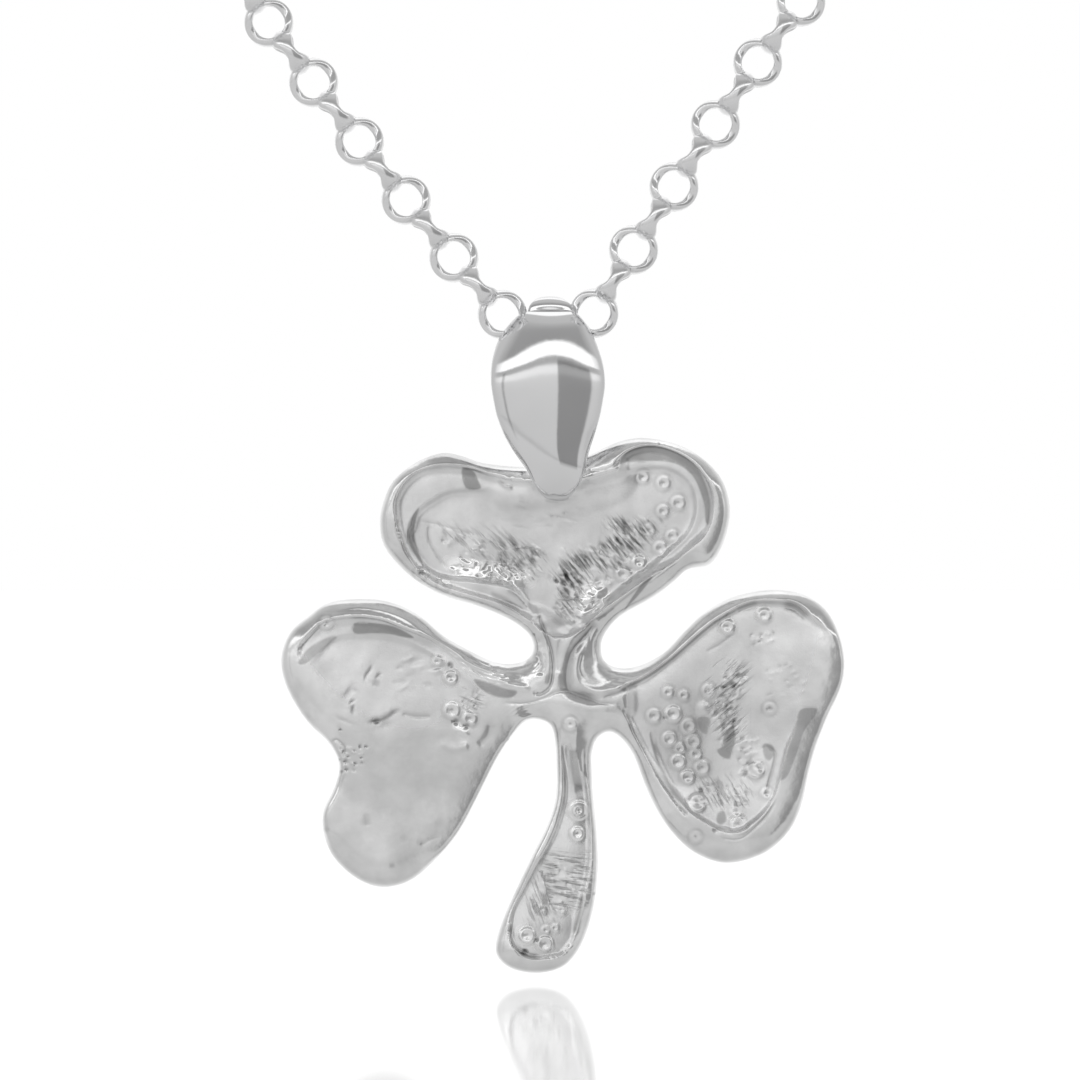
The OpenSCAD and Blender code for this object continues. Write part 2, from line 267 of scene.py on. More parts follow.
def apply_modifier(piece: bpy.types.Object, kind: str, **settings: object) -> None:
    """Adds a modifier and applies it.

    Args:
        piece: The piece that it changes.
        kind: The modifier's type.
        settings: Its settings.
    """
    select_only(piece)
    modifier = piece.modifiers.new(kind.lower(), kind)
    for name, value in settings.items():
        setattr(modifier, name, value)
    bpy.ops.object.modifier_apply(modifier=modifier.name)


def smooth_shading(piece: bpy.types.Object) -> None:
    """Shades a piece smooth."""
    select_only(piece)
    bpy.ops.object.shade_smooth()


def face_outward(piece: bpy.types.Object) -> None:
    """Turns every face of a piece to the outside.

    Args:
        piece: The piece.
    """
    edit(piece)
    bpy.ops.mesh.normals_make_consistent(inside=False)
    close_edit()


def closed_ring(name: str, places: np.ndarray) -> bpy.types.Object:
    """A ring-shaped piece with its vertices at given places.

    Args:
        name: The piece's name.
        places: The places, by turn round the ring, turn round its section, and axis.

    Returns:
        The piece, in the places' unit.
    """
    around, across, _ = places.shape
    bpy.ops.object.select_all(action="DESELECT")
    bpy.ops.mesh.primitive_torus_add(
        major_segments=around, minor_segments=across, major_radius=3, minor_radius=1
    )
    piece = bpy.context.object
    piece.name = name
    write_places(piece.data, places.reshape(-1, 3))
    face_outward(piece)
    return piece


def place_in_frame(piece: bpy.types.Object, origin: Vector) -> None:
    """Takes a mesh from millimetres round the lowest link to metres in the row frame."""
    write_places(piece.data, read_places(piece.data) * METRE + np.array(origin))


@dataclass
class Wiring:
    """A node tree in the making."""

    tree: bpy.types.NodeTree

    def feed(self, node: bpy.types.Node, name: str | int, value: object) -> None:
        """Joins a node's input to a socket, or sets it to a value.

        Args:
            node: The node.
            name: Name or number of its input.
            value: The socket or value.
        """
        if isinstance(value, bpy.types.NodeSocket):
            self.tree.links.new(value, node.inputs[name])
        else:
            node.inputs[name].default_value = value

    def add(
        self, kind: str, output: str, inputs: dict[str | int, object] | None = None, **settings: object
    ) -> bpy.types.NodeSocket:
        """Adds a node.

        Args:
            kind: The node's type, without the word that all shader nodes start with.
            output: The output that is wanted.
            inputs: What goes into its inputs: sockets or values.
            settings: Its own settings, such as its operation.

        Returns:
            The output.
        """
        node = self.tree.nodes.new("ShaderNode" + kind)
        for name, value in settings.items():
            setattr(node, name, value)
        for name, value in (inputs or {}).items():
            self.feed(node, name, value)
        return node.outputs[output]

    def math(self, operation: str, first: object, second: object = 0.0) -> bpy.types.NodeSocket:
        """A step of arithmetic with two sockets or numbers."""
        return self.add("Math", "Value", {0: first, 1: second}, operation=operation)

    def attribute(self, name: str) -> bpy.types.NodeSocket:
        """What an attribute of the mesh holds."""
        return self.add("Attribute", "Fac", attribute_name=name)

    def stretch(self, value: bpy.types.NodeSocket, low: float, high: float) -> bpy.types.NodeSocket:
        """A value spread out so that it runs from 0 at the low number to 1 at the high one."""
        return self.add("MapRange", "Result", {"Value": value, "From Min": low, "From Max": high})

    def between(self, share: bpy.types.NodeSocket, low: float, high: float) -> bpy.types.NodeSocket:
        """A value that runs from the low number to the high one while a share runs from 0 to 1."""
        return self.add("MapRange", "Result", {"Value": share, "To Min": low, "To Max": high})

    def table(self, degrees: bpy.types.NodeSocket, rows: Rows) -> bpy.types.NodeSocket:
        """The value that a table gives for an angle.

        Args:
            degrees: The angle.
            rows: The table's angles, rising from -90 to 90 degrees, and the value at each.

        Returns:
            The value.
        """
        half_turn = 180.0
        share = self.math("ADD", self.math("DIVIDE", degrees, half_turn), 0.5)
        colour = self.add("ValToRGB", "Color", {"Fac": share})
        stops = colour.node.color_ramp.elements
        highest = max(value for _, value in rows)
        for angle, value in rows:
            spot = angle / half_turn + 0.5
            stop = stops[0] if spot <= 0 else stops[-1] if spot >= 1 else stops.new(spot)
            stop.color = (*(3 * [value / highest]), 1)
        return self.math("MULTIPLY", colour, highest)

    def finish(self, kind: str, shader: bpy.types.NodeSocket) -> None:
        """Adds the tree's output node."""
        self.feed(self.tree.nodes.new("ShaderNodeOutput" + kind), "Surface", shader)


@dataclass(frozen=True)
class Stroke:
    """A mark along a line on the casting: a groove, a ridge or a crease, with painted shade on the darker
    ones and a painted highlight on the lighter ones.
    """

    line: Pixels
    width: float
    rise: float = 0.0
    # painted shade below 1, a painted highlight above 1
    tone: float = 1.0
    section: Section = Section.SOFT
    taper: float = 0.15  # share of its length over which each end fades out

    REACH = 2.6  # widths beyond which it isn't felt

    def strength(self, places: np.ndarray) -> tuple[np.ndarray, np.ndarray]:
        """How strongly the mark is felt.

        Args:
            places: One row of x and z for each place.

        Returns:
            The places that it reaches, as indices, and its strength from 0 to 1 at each.
        """
        line = PHOTO.flat(self.line)
        if len(line) > 2:
            line = curve_through(line, 4, False)
        near = close_by(places, line, PHOTO.length(self.width) * self.REACH)
        if not len(near):
            return near, np.zeros(0)
        distance, along = distance_to_line(places[near], line)
        share = distance / PHOTO.length(self.width)
        soft = self.section is Section.SOFT
        across = np.exp(-(share**2)) if soft else 1 - ease((share - 0.75) / 0.5)
        ends = ease(np.minimum(along, 1 - along) / self.taper) if self.taper > 0 else 1.0
        return near, across * ends


@dataclass(frozen=True)
class Shore:
    """One stretch of the edge of a step in the casting, and how wide its slope is."""

    line: Pixels
    width: float

    STEEP = 15.0  # a slope narrower than this, in pixels, is steep

    def steep(self) -> bool:
        """Whether its slope is steep."""
        return self.width < self.STEEP


@dataclass(frozen=True)
class Step:
    """A level of a leaf's basin: the ground inside its shores lies lower."""

    shores: tuple[Shore, ...]
    drop: float
    lip: float = 0.0  # how far the ground has already rolled down at a steep shore
    crest: float = 0.07  # rise of the narrow ridge just outside it
    crest_gap: float = 0.15  # how far outside it the ridge lies, in mm
    crest_width: float = 0.2
    roll_reach: float = 0.07  # how fast the rolled edge fades outwards, in mm
    nudge: float = 0.02  # a small way up, to tell which side of a shore faces up, in mm

    def outline(self) -> np.ndarray:
        """The closed edge of the step."""
        return curve_through(PHOTO.flat(sum((shore.line for shore in self.shores), ())), 4, True)

    def depth(self, places: np.ndarray) -> np.ndarray:
        """How far the step lowers the ground.

        Args:
            places: One row of x and z for each place.

        Returns:
            The drop at each place, in mm.
        """
        inside = inside_outline(places, self.outline())
        depth = np.zeros(len(places))
        depth[inside] = self.drop
        for k, shore in enumerate(self.shores):
            following = self.shores[(k + 1) % len(self.shores)].line[:1]
            line = curve_through(PHOTO.flat(shore.line + following), 4, False)
            reach = PHOTO.length(shore.width)
            if shore.steep() or len(shore.line) < 3:
                distance, _ = distance_to_line(places[inside], line)
            else:
                distance = soft_distance(places[inside], line, reach / 4)
            share = np.clip(distance / reach, 0, 1)
            if shore.steep():
                start = math.asin(self.lip / self.drop) / (math.pi / 2)
                depth[inside] *= np.sin((start + (1 - start) * share) * math.pi / 2)
            else:
                depth[inside] *= ease(share)
        if self.lip:
            depth[~inside] = self.roll(places[~inside])
        return depth

    def roll(self, places: np.ndarray) -> np.ndarray:
        """How far the edge is rolled down outside the step.

        Args:
            places: One row of x and z for each place, all outside the step.

        Returns:
            The drop at each place in mm, below 0 where the ridge stands up.
        """
        depth = np.zeros(len(places))
        for shore in self.shores:
            if shore.steep() and len(shore.line) > 1:
                line = curve_through(PHOTO.flat(shore.line), 4, False)
                distance, along = distance_to_line(places, line)
                ends = ease(np.minimum(along, 1 - along) / 0.1 + 0.15)
                higher, _ = distance_to_line(places + (0, self.nudge), line)
                crest = self.crest * np.clip((higher - distance) / self.nudge * 1.6 - 0.5, 0, 1)
                fall = (self.lip + 0.57 * crest) * np.exp(-distance / self.roll_reach)
                ridge = np.exp(-(((distance - self.crest_gap) / self.crest_width) ** 2))
                depth += ends * (fall - crest * ridge)
        return depth


@dataclass(frozen=True)
class Ringlet:
    """A small bubble with a rim, lightened by a painted highlight, with a dot of painted shade in its middle
    and painted shade on the ground round it, in pixels.
    """

    place: tuple[float, float]
    radius: float
    rise: float = 0.045
    wire: float = 1.5
    # how dark the painted shade on its dot is; the ground round it gets a weaker painted shade
    tone: float = 0.55
    hollow: float = 0.42  # radius of the hollow in its middle, as a share of its own
    dot: float = 0.22  # radius of the dot of painted shade, likewise
    dot_drop: float = 0.12  # how far the dot lies below the middle, likewise
    moat: float = 1.9  # how far outside it the painted shade on the ground is darkest, in wires

    def shape(self, places: np.ndarray) -> tuple[np.ndarray, np.ndarray, np.ndarray]:
        """The ring's height and its painted light and shade.

        Args:
            places: One row of x and z for each place.

        Returns:
            The places that it reaches, as indices, and its rise in mm and its painted light and shade at
            each.
        """
        offset = (places - PHOTO.flat((self.place,))[0]) * PHOTO.pixels_per_mm
        distance = np.hypot(*offset.T)
        near = np.nonzero(distance < self.radius + 3 * self.wire)[0]
        distance, offset = distance[near], offset[near]
        cap = 1 - ease((distance / self.radius - 0.75) / 0.45)
        ring = np.exp(-(((distance - 0.9 * self.radius) / self.wire) ** 2))
        dimple = np.exp(-((distance / (self.radius * self.hollow)) ** 2))
        from_dot = np.hypot(offset[:, 0], offset[:, 1] - self.dot_drop * self.radius)
        dot = np.exp(-((from_dot / (self.radius * self.dot)) ** 2))
        moat = np.exp(-(((distance - self.radius - self.moat * self.wire) / (1.2 * self.wire)) ** 2))
        uneven = 1 + 0.3 * np.sin(3 * np.arctan2(*offset.T))
        rise = self.rise * (0.7 * cap + 0.45 * ring * uneven - 0.9 * dimple)
        # painted highlight on the cap, painted shade on the dot and on the ground round it
        tone = (1 + 0.05 * cap) * (1 - (1 - self.tone) * dot) * (1 - 0.3 * (1 - self.tone) * moat * uneven)
        return near, rise, tone


@dataclass(frozen=True)
class Pit:
    """A small round hollow or grain in the casting, darkened with painted shade, in pixels."""

    place: tuple[float, float]
    radius: float
    depth: float = 0.08
    # darkness of the painted shade at its middle: the colour is multiplied by this
    tone: float = 0.5


@dataclass(frozen=True)
class Patch:
    """An area of the front darkened with painted shade, lightened with a painted highlight, or scored in one
    direction.
    """

    corners: Pixels
    # painted shade below 1, a painted highlight above 1
    tone: float = 1.0
    soft: float = 1.2  # width of its border, in pixels
    scoring: float = 0.0  # strength of the score marks
    bearing: float = 0.0  # their direction, in degrees down from level
    polish: float = 0.0  # how much of the satin is rubbed away

    def share(self, places: np.ndarray) -> tuple[np.ndarray, np.ndarray]:
        """How much of the patch each place gets.

        Args:
            places: One row of x and z for each place.

        Returns:
            The places that it reaches, as indices, and its share at each, from 0 to 1.
        """
        outline = curve_through(PHOTO.flat(self.corners), 4, True)
        reach = PHOTO.length(self.soft)
        near = close_by(places, outline, reach)
        distance, _ = distance_to_line(places[near], outline, True)
        side = np.where(inside_outline(places[near], outline), distance, -distance)
        return near, ease(0.5 + side / reach / 2)


@dataclass(frozen=True)
class Hatching:
    """A patch of short tool marks side by side, the sunken ones darkened with painted shade."""

    corners: Pixels
    bearing: float
    count: int
    length: float
    width: float
    rise: float
    # painted shade on the sunken marks
    tone: float
    seed: int

    def strokes(self) -> list[Stroke]:
        """The marks, spread at random over the patch between its four corners.

        Returns:
            One stroke for each mark.
        """
        chance = np.random.default_rng(self.seed)
        corners = np.array(self.corners, float)
        strokes = []
        for _ in range(self.count):
            u, v = chance.random(2)
            upper = (1 - u) * corners[0] + u * corners[1]
            lower = (1 - u) * corners[3] + u * corners[2]
            middle = (1 - v) * upper + v * lower
            way = math.radians(self.bearing + chance.normal(0, 9))
            reach = self.length * chance.uniform(0.45, 1.1) / 2
            step = np.array([math.cos(way), math.sin(way)]) * reach
            bow = np.array([-step[1], step[0]]) * chance.uniform(-0.25, 0.25)
            line = (tuple(middle - step), tuple(middle + bow), tuple(middle + step))
            sign = 1 if chance.random() < 0.5 else -1
            strokes.append(
                Stroke(
                    line,
                    self.width * chance.uniform(0.7, 1.3),
                    self.rise * chance.uniform(0.5, 1.2) * sign,
                    1 - (1 - self.tone) * chance.uniform(0.2, 1.4) if sign < 0 else 1.0,
                    taper=0.4,
                )
            )
        return strokes


@dataclass(frozen=True)
class SilverFinish:
    """Sterling silver: polished where it was buffed, satin in its hollows, with fine tool marks."""

    name: str
    colour: tuple[float, float, float]
    polish: float
    satin: float
    grain_scale: float
    grain_depth: float
    wave_scale: float
    wave_depth: float
    mottling: float = 0.05
    # whether it reads the casting's painted light and shade, its satin and its score marks
    reads_marks_and_painted_light: bool = False
    streak_width: float = 0.17
    streak_length: float = 1.5
    streak_depth: float = 0.05
    # painted shade in the streaks' grooves: the colour is multiplied by this
    streak_painted_shade: float = 0.46

    def material(self) -> bpy.types.Material:
        """The finish as a Blender material, made when it is first asked for."""
        return bpy.data.materials.get(self.name) or self.make()

    def make(self) -> bpy.types.Material:
        """Makes the material.

        Returns:
            A material whose nodes read Object coordinates and, on the casting, its attributes.
        """
        material = bpy.data.materials.new(self.name)
        material.use_nodes = True
        wires = Wiring(material.node_tree)
        place = wires.add("TexCoord", "Object")
        wave = wires.add("TexNoise", "Fac", {"Vector": place, "Scale": self.wave_scale, "Detail": 3.0})
        cloud = wires.add("TexNoise", "Fac", {"Vector": place, "Scale": self.wave_scale / 3, "Detail": 2.0})
        grain = wires.add(
            "TexNoise", "Fac", {"Vector": place, "Scale": self.grain_scale, "Detail": 4.0, "Roughness": 0.65}
        )
        stain = wires.stretch(wires.math("MULTIPLY", wave, cloud), 0.12, 0.38)
        stained = (*(channel * (1 - self.mottling) for channel in self.colour), 1)
        tint = {"Factor": stain, "A": stained, "B": (*self.colour, 1)}
        colour = wires.add("Mix", "Result", tint, data_type="RGBA")
        normal = wires.add("Bump", "Normal", {"Distance": self.wave_depth * METRE, "Height": wave})
        fine = {"Distance": self.grain_depth * METRE, "Height": grain, "Normal": normal}
        normal = wires.add("Bump", "Normal", fine)
        satin = grain
        if self.reads_marks_and_painted_light:
            satin = wires.attribute(Casting.SATIN)
            wires.feed(normal.node, "Strength", satin)
            painted_streak_shade, normal = self.score_marks(wires, normal)
            # The casting's colour is multiplied by its painted light and shade and by the streaks' painted
            # shade
            shade = wires.math("MULTIPLY", wires.attribute(Casting.PAINTED_LIGHT_AND_SHADE), painted_streak_shade)
            darken = {"Factor": 1.0, "A": colour, "B": shade}
            colour = wires.add("Mix", "Result", darken, data_type="RGBA", blend_type="MULTIPLY")
        shader = material.node_tree.nodes["Principled BSDF"]
        wires.feed(shader, "Metallic", 1.0)
        wires.feed(shader, "Roughness", wires.between(satin, self.polish, self.satin))
        wires.feed(shader, "Base Color", colour)
        wires.feed(shader, "Normal", normal)
        return material

    def score_marks(
        self, wires: Wiring, normal: bpy.types.NodeSocket
    ) -> tuple[bpy.types.NodeSocket, bpy.types.NodeSocket]:
        """Fine streaks, grooved and darkened with painted shade, where the casting's scoring attribute asks
        for them.

        Args:
            wires: The material's nodes.
            normal: The normal that the streaks are cut into.

        Returns:
            The streaks' painted shade and the normal with the streaks in it.
        """
        across = wires.math("DIVIDE", wires.attribute(Casting.ACROSS), self.streak_width)
        along = wires.math("DIVIDE", wires.attribute(Casting.ALONG), self.streak_length)
        place = wires.add("CombineXYZ", "Vector", {"X": across, "Y": along})
        streak = wires.add("TexNoise", "Fac", {"Vector": place, "Scale": 1.0, "Detail": 3.0})
        cut = wires.math("MULTIPLY", wires.stretch(streak, 0.5, 0.62), wires.attribute(Casting.SCORING))
        groove = {"Distance": self.streak_depth * METRE, "Height": cut, "Normal": normal}
        return wires.between(cut, 1.0, self.streak_painted_shade), wires.add("Bump", "Normal", groove, invert=True)


# The casting's finish also carries its painted light and shade
CASTING_FINISH = SilverFinish(
    "cast silver, satin basins and buffed rims", (0.99, 0.99, 0.99), 0.15, 0.32, 9000, 0.012, 700, 0.04,
    mottling=0.2, reads_marks_and_painted_light=True,
)
BAIL_FINISH = SilverFinish(
    "polished silver of the bail", (0.86, 0.86, 0.865), 0.05, 0.12, 4000, 0.001, 350, 0.012
)
CHAIN_FINISH = SilverFinish(
    "polished silver of the chain", (0.9, 0.9, 0.905), 0.12, 0.24, 6000, 0.002, 1200, 0.008
)


@dataclass
class Casting:
    """The cast shamrock: one plate with the photograph's outline, sculpted on its front."""

    # Names of the attributes that the finish reads; the first holds painted light and shade
    PAINTED_LIGHT_AND_SHADE = "tone"
    SATIN = "satin"
    SCORING = "scoring"
    ACROSS = "across the score marks"
    ALONG = "along the score marks"

    origin: Vector
    back: float = 0.9  # how far its back lies behind the lowest link's middle
    wall: float = 0.95  # the plate's thickness before it is sculpted
    voxel: float = 0.135
    back_edge: float = 0.35  # radius of the back's edge
    crown: float = 2.0  # thickness inside the rolled rim, without the dome
    dome: float = 0.16  # more thickness towards the middle
    dome_reach: float = 2.0
    roll: float = 0.6  # how much of the thickness the rim rolls over
    roll_reach: float = 2.0
    least_roll: float = 0.06
    edge_radius: float = 0.3
    soft_border: float = 0.45  # share of a soft edge's reach in which it fades out
    flat_border: float = 0.4  # the same for a flat edge
    fine_gap: float = 0.24  # faces are finer this near a steep shore
    fine_strength: float = 0.12  # and where a mark is stronger than this
    fine_border: float = 2.0  # and in a patch's border that is narrower than this, in pixels
    fine_margin: float = 0.2  # and this far round a pit or bubble
    front_slack: float = 0.05  # how far behind the plate's front a face still counts as its front
    front_start: float = 0.72  # above the back face, where the sculpted front starts
    front_blend: float = 0.14
    flat_depth: float = 0.1  # the flat back's faces lie no further in front of it than this
    flat_inset: float = 0.6  # and at least this far inside the edge
    # level of the painted light and shade everywhere, below 1 so that painted highlights can lift it
    plain_painted_light: float = 0.945
    plain_satin: float = 0.25
    basin_satin: float = 0.75  # added where the ground lies as deep as satin_depth
    satin_depth: float = 0.3
    inner_satin: float = 0.35  # added inside the edge, from satin_start over satin_blend
    satin_start: float = 0.8
    satin_blend: float = 1.1
    buffed: float = 0.55  # share of the satin that is left on a bubble
    kept_faces: float = 0.72  # share of the flat back's faces that is kept
    # Where the edge has another radius: x and y, reach, and radius in mm
    soft_edges: Rows = (
        (376, 855, 72, 0.6), (300, 700, 60, 0.6), (745, 850, 90, 0.7), (838, 690, 80, 0.22),
        (500, 668, 45, 0.6), (605, 665, 42, 0.6), (392, 530, 60, 0.5), (722, 520, 70, 0.5),
        (478, 795, 110, 0.14),
    )
    # Where the edge rolls over less: x and y, reach, and the roll's height in mm
    flat_edges: Rows = (
        (478, 795, 110, 0.06), (332, 792, 60, 0.06), (520, 745, 40, 0.2), (843, 668, 56, 0.08),
        (386, 510, 60, 0.25), (826, 735, 62, 0.08), (800, 800, 74, 0.08), (728, 522, 62, 0.08),
        (600, 850, 80, 0.2),
    )
    outline: Pixels = (
        (380, 521), (384, 500), (394, 480), (415, 463), (441, 453), (462, 456), (483, 463), (523, 467),
        (556, 464), (587, 456), (618, 442), (648, 438), (688, 449), (719, 475), (730, 508), (724, 541),
        (710, 564), (688, 569), (674, 581), (653, 597), (620, 616), (604, 635), (601, 649), (605, 662),
        (621, 668.5), (642, 665), (665, 652), (684, 632), (703, 614), (728, 599), (753, 592), (776, 590),
        (802, 594), (825, 609), (839, 634), (844.5, 662), (841, 687), (827, 718), (816, 746), (808, 775),
        (801, 806), (789, 831), (766, 852), (737, 862), (714, 861), (688, 848), (665, 823), (648, 792),
        (634, 756), (621, 738), (609, 731.5), (597, 738), (592, 752), (591.5, 764), (593, 794),
        (596.5, 830), (598, 867), (594, 904), (585, 936), (572.5, 958), (558, 969), (535.5, 973),
        (513, 969), (498.5, 958), (496, 943), (504, 917), (517, 888), (533.6, 853), (546.6, 827),
        (555.5, 799), (556.5, 765), (554, 734), (548, 723), (534, 719), (523, 723), (511, 737), (496, 760),
        (478, 796), (458, 833), (433, 862), (411, 880), (388, 887), (368, 884), (348, 872), (331, 853),
        (323, 829), (324, 809), (335, 786), (339, 764), (329, 743), (307, 721), (288, 690), (281, 660),
        (290, 633), (309, 616), (331, 602), (368, 599), (396, 604), (421, 617), (445, 637), (474, 653),
        (494, 662), (512, 664), (528, 659), (533.5, 647), (528, 633), (509, 619), (478, 606), (445, 596),
        (417, 581), (396, 562), (383, 543),
    )
    steps: tuple[Step, ...] = (
        # Top leaf: inside its rim, then the basin below a terrace
        Step((
            Shore(((396, 520), (397, 500), (407, 482), (423, 471), (444, 467), (469, 469), (488, 475),
                   (508, 479)), 7),
            Shore(((545, 482), (589, 474)), 16),
            Shore(((614, 467), (619, 460), (631, 451), (649, 447), (671, 451), (693, 464), (708, 484),
                   (712, 504), (707, 529), (691, 546), (673, 561), (654, 572), (631, 588), (607, 606)), 7),
            Shore(((585, 625), (570, 634), (552, 636)), 14),
            Shore(((530, 620), (513, 608), (493, 600), (469, 593), (439, 583), (419, 568), (404, 546)), 6),
        ), 0.58, 0.26),
        Step((
            Shore(((411, 525), (417, 511), (432, 499), (451, 490), (481, 489)), 7),
            Shore(((498, 491), (533, 492), (585, 484)), 25),
            Shore(((622, 472), (649, 466), (671, 468), (687, 478), (695, 492), (697, 511), (690, 532),
                   (673, 550), (650, 569), (624, 588), (600, 609)), 7),
            Shore(((582, 622), (560, 628)), 18),
            Shore(((536, 618), (512, 590), (478, 583), (449, 580), (430, 572), (416, 556), (408, 539)), 6),
        ), 0.36),
        # Left leaf: steep under its upper rim, and rising gently into the smooth lower lobe
        Step((
            Shore(((299, 664), (301, 647), (312, 633), (324, 623), (342, 619), (362, 618), (383, 621),
                   (403, 629), (427, 639), (450, 651), (470, 667), (490, 681)), 8),
            Shore(((512, 692), (512, 702), (500, 740), (470, 785), (430, 812), (395, 812), (368, 792),
                   (352, 758)), 125),
            Shore(((334, 726), (320, 712), (306, 694)), 40),
        ), 0.42, 0.2),
        Step((
            Shore(((300, 668), (314, 659), (326, 645), (342, 635), (373, 634), (397, 637), (417, 645),
                   (438, 657), (470, 681)), 6),
            Shore(((492, 700), (470, 730), (432, 750), (395, 755), (355, 742), (326, 712)), 90),
        ), 0.16),
        # Right leaf
        Step((
            Shore(((622, 687), (639, 680), (656, 670), (672, 658), (689, 643), (705, 629), (720, 618),
                   (740, 607), (757, 602), (778, 602), (794, 605), (807, 615), (823, 627)), 5),
            Shore(((833, 642), (836, 664), (829, 690)), 75),
            Shore(((816, 712), (806, 733), (798, 757), (791, 782), (783, 803), (769, 824), (748, 840),
                   (722, 843), (700, 830)), 40),
            Shore(((686, 815), (672, 797), (657, 774), (644, 750), (631, 725)), 6),
            Shore(((622, 706),), 16),
        ), 0.55, 0.2),
        Step((
            Shore(((652, 726), (672, 702), (706, 668), (752, 650), (786, 668)), 45),
            Shore(((797, 706), (795, 727), (787, 748), (781, 773), (775, 795), (765, 811), (752, 823),
                   (738, 832)), 5),
            Shore(((717, 829), (695, 816), (683, 805), (669, 784), (659, 763), (653, 744)), 5),
        ), 0.3),
        # Stem
        Step((
            Shore(((584, 768), (588, 801), (590, 832), (589, 862), (584, 889), (577, 914), (573, 938)), 4),
            Shore(((562, 954), (536, 958), (518, 951)), 4),
            Shore(((509, 936), (512, 912), (523, 890), (536, 866), (549, 843), (558, 821), (564, 796),
                   (564, 771), (562, 745)), 4),
            Shore(((573, 736),), 20),
        ), 0.42, 0.12, 0.03),
    )
    strokes: tuple[Stroke, ...] = (
        # Hub: grooves between the strands, and the strands themselves
        Stroke(((597, 620), (590, 628), (574, 650), (568, 668), (567, 683), (572, 692), (586, 697),
                (602, 702)), 5.4, -0.2, 0.6, taper=0.12),
        Stroke(((540, 616), (541, 622), (548, 640), (552, 655), (553, 672), (550, 686), (541, 693.5),
                (535, 692)), 1.6, -0.16, 0.68, taper=0.05),
        Stroke(((534, 640), (540, 655), (543, 672), (542, 688)), 6.0, 0.1),
        Stroke(((537, 652), (541, 664), (540, 676)), 3.0, -0.1, 0.72),
        Stroke(((500, 702), (525, 702.5), (545, 697), (556, 691.5), (568, 691), (585, 697), (600, 702.5),
                (622, 703)), 1.4, -0.06, 0.76, taper=0.1),
        Stroke(((500, 712), (530, 708), (560, 702), (590, 708), (622, 716)), 8.0, 0.1),
        Stroke(((566, 629), (560, 650), (558, 675)), 5.5, -0.1, 1.0),
        Stroke(((583, 640), (577, 655), (575, 670), (580, 684), (595, 691), (615, 688), (645, 675),
                (668, 657)), 4.0, 0.12),
        Stroke(((598, 695), (615, 693), (630, 687), (644, 678)), 3.2, -0.07, 0.7, taper=0.3),
        Stroke(((470, 655), (490, 672), (510, 684), (533, 688)), 3.0, 0.1),
        Stroke(((583, 652), (580, 668), (585, 680)), 1.2, -0.05, 0.75),
        # Solder round the bail's tail
        Stroke(((527, 470), (532, 480), (541, 491), (557, 497), (572, 491), (581, 480), (586, 468)), 6.5,
               0.3),
        # Top leaf
        Stroke(((396, 513), (397, 533), (407, 553), (419, 568), (432, 579)), 1.3, -0.04, 0.75),
        Stroke(((667, 566), (650, 579), (628, 595), (605, 613), (590, 622), (581, 629)), 1.3, -0.06, 0.7,
               taper=0.05),
        Stroke(((497, 479), (505, 486), (513, 487)), 2.0, 0.08, 0.8),
        Stroke(((430, 522), (429, 537), (436, 553), (449, 571)), 1.4, -0.04, 0.85),
        Stroke(((420, 521), (436, 524), (455, 529), (480, 536)), 1.4, -0.03, 0.88),
        Stroke(((441, 456), (470, 463), (505, 471), (531, 472)), 1.5, 0.03),
        Stroke(((588, 472), (606, 469), (620, 463)), 1.4, -0.04, 0.75),
        Stroke(((436, 568), (468, 586), (500, 592), (530, 597)), 16, 0.33, 1.05, taper=0.3),
        Stroke(((566, 614), (588, 602), (606, 586)), 10, 0.24, 1.05, taper=0.3),
        # Left leaf
        Stroke(((331, 612), (360, 607), (395, 614), (425, 632), (455, 655), (480, 668), (510, 676)), 2.2,
               0.05),
        Stroke(((300, 660), (303, 647), (314, 633), (322, 625)), 1.2, -0.05, 0.65),
        Stroke(((366, 724), (373, 721), (381, 719.5), (389, 716), (396, 711), (404, 709)), 2.6, -0.06, 0.5,
               taper=0.3),
        Stroke(((370, 728), (385, 724), (400, 718)), 4.0, -0.04, 0.8, taper=0.5),
        Stroke(((402, 713), (416, 716), (433, 716)), 2.0, -0.05, 0.85),
        Stroke(((373.5, 663), (371, 669), (367, 675), (365, 684)), 1.3, -0.06, 0.7, taper=0.4),
        Stroke(((383, 672), (379, 675), (376, 680)), 1.3, -0.06, 0.66, taper=0.4),
        Stroke(((355, 679), (352, 688), (347, 695), (345, 704)), 3.2, -0.035, 0.8, taper=0.5),
        Stroke(((363, 694), (356, 690), (352, 688)), 2.0, -0.02, 0.86, taper=0.5),
        Stroke(((357, 698), (353, 701), (350, 704)), 1.2, -0.05, 0.7, taper=0.4),
        Stroke(((356, 703), (354, 708), (354, 716)), 1.2, -0.05, 0.76, taper=0.4),
        Stroke(((334, 710), (339, 717), (348, 721), (362, 727)), 2.4, -0.035, 0.82, taper=0.5),
        Stroke(((336, 722), (341, 729), (340, 736)), 1.4, -0.03, 0.84, taper=0.5),
        Stroke(((340, 690), (352, 676), (372, 652), (395, 648)), 9, 0.035, taper=0.5),
        Stroke(((385, 700), (400, 690), (420, 682), (438, 690)), 8, -0.035, taper=0.5),
        Stroke(((400, 735), (425, 728), (450, 735)), 7, 0.03, taper=0.5),
        Stroke(((331, 741), (338, 739), (345, 747), (343, 757)), 1.3, -0.06, 0.72),
        Stroke(((347, 770), (342, 782), (340, 796)), 1.6, -0.04, 0.8, taper=0.5),
        Stroke(((452, 727), (462, 731), (472, 735)), 3.0, 0.08, taper=0.4),
        Stroke(((440, 742), (455, 748), (470, 744)), 4.0, 0.05),
        Stroke(((492, 722), (488, 735), (478, 746)), 4.0, -0.05, 0.9),
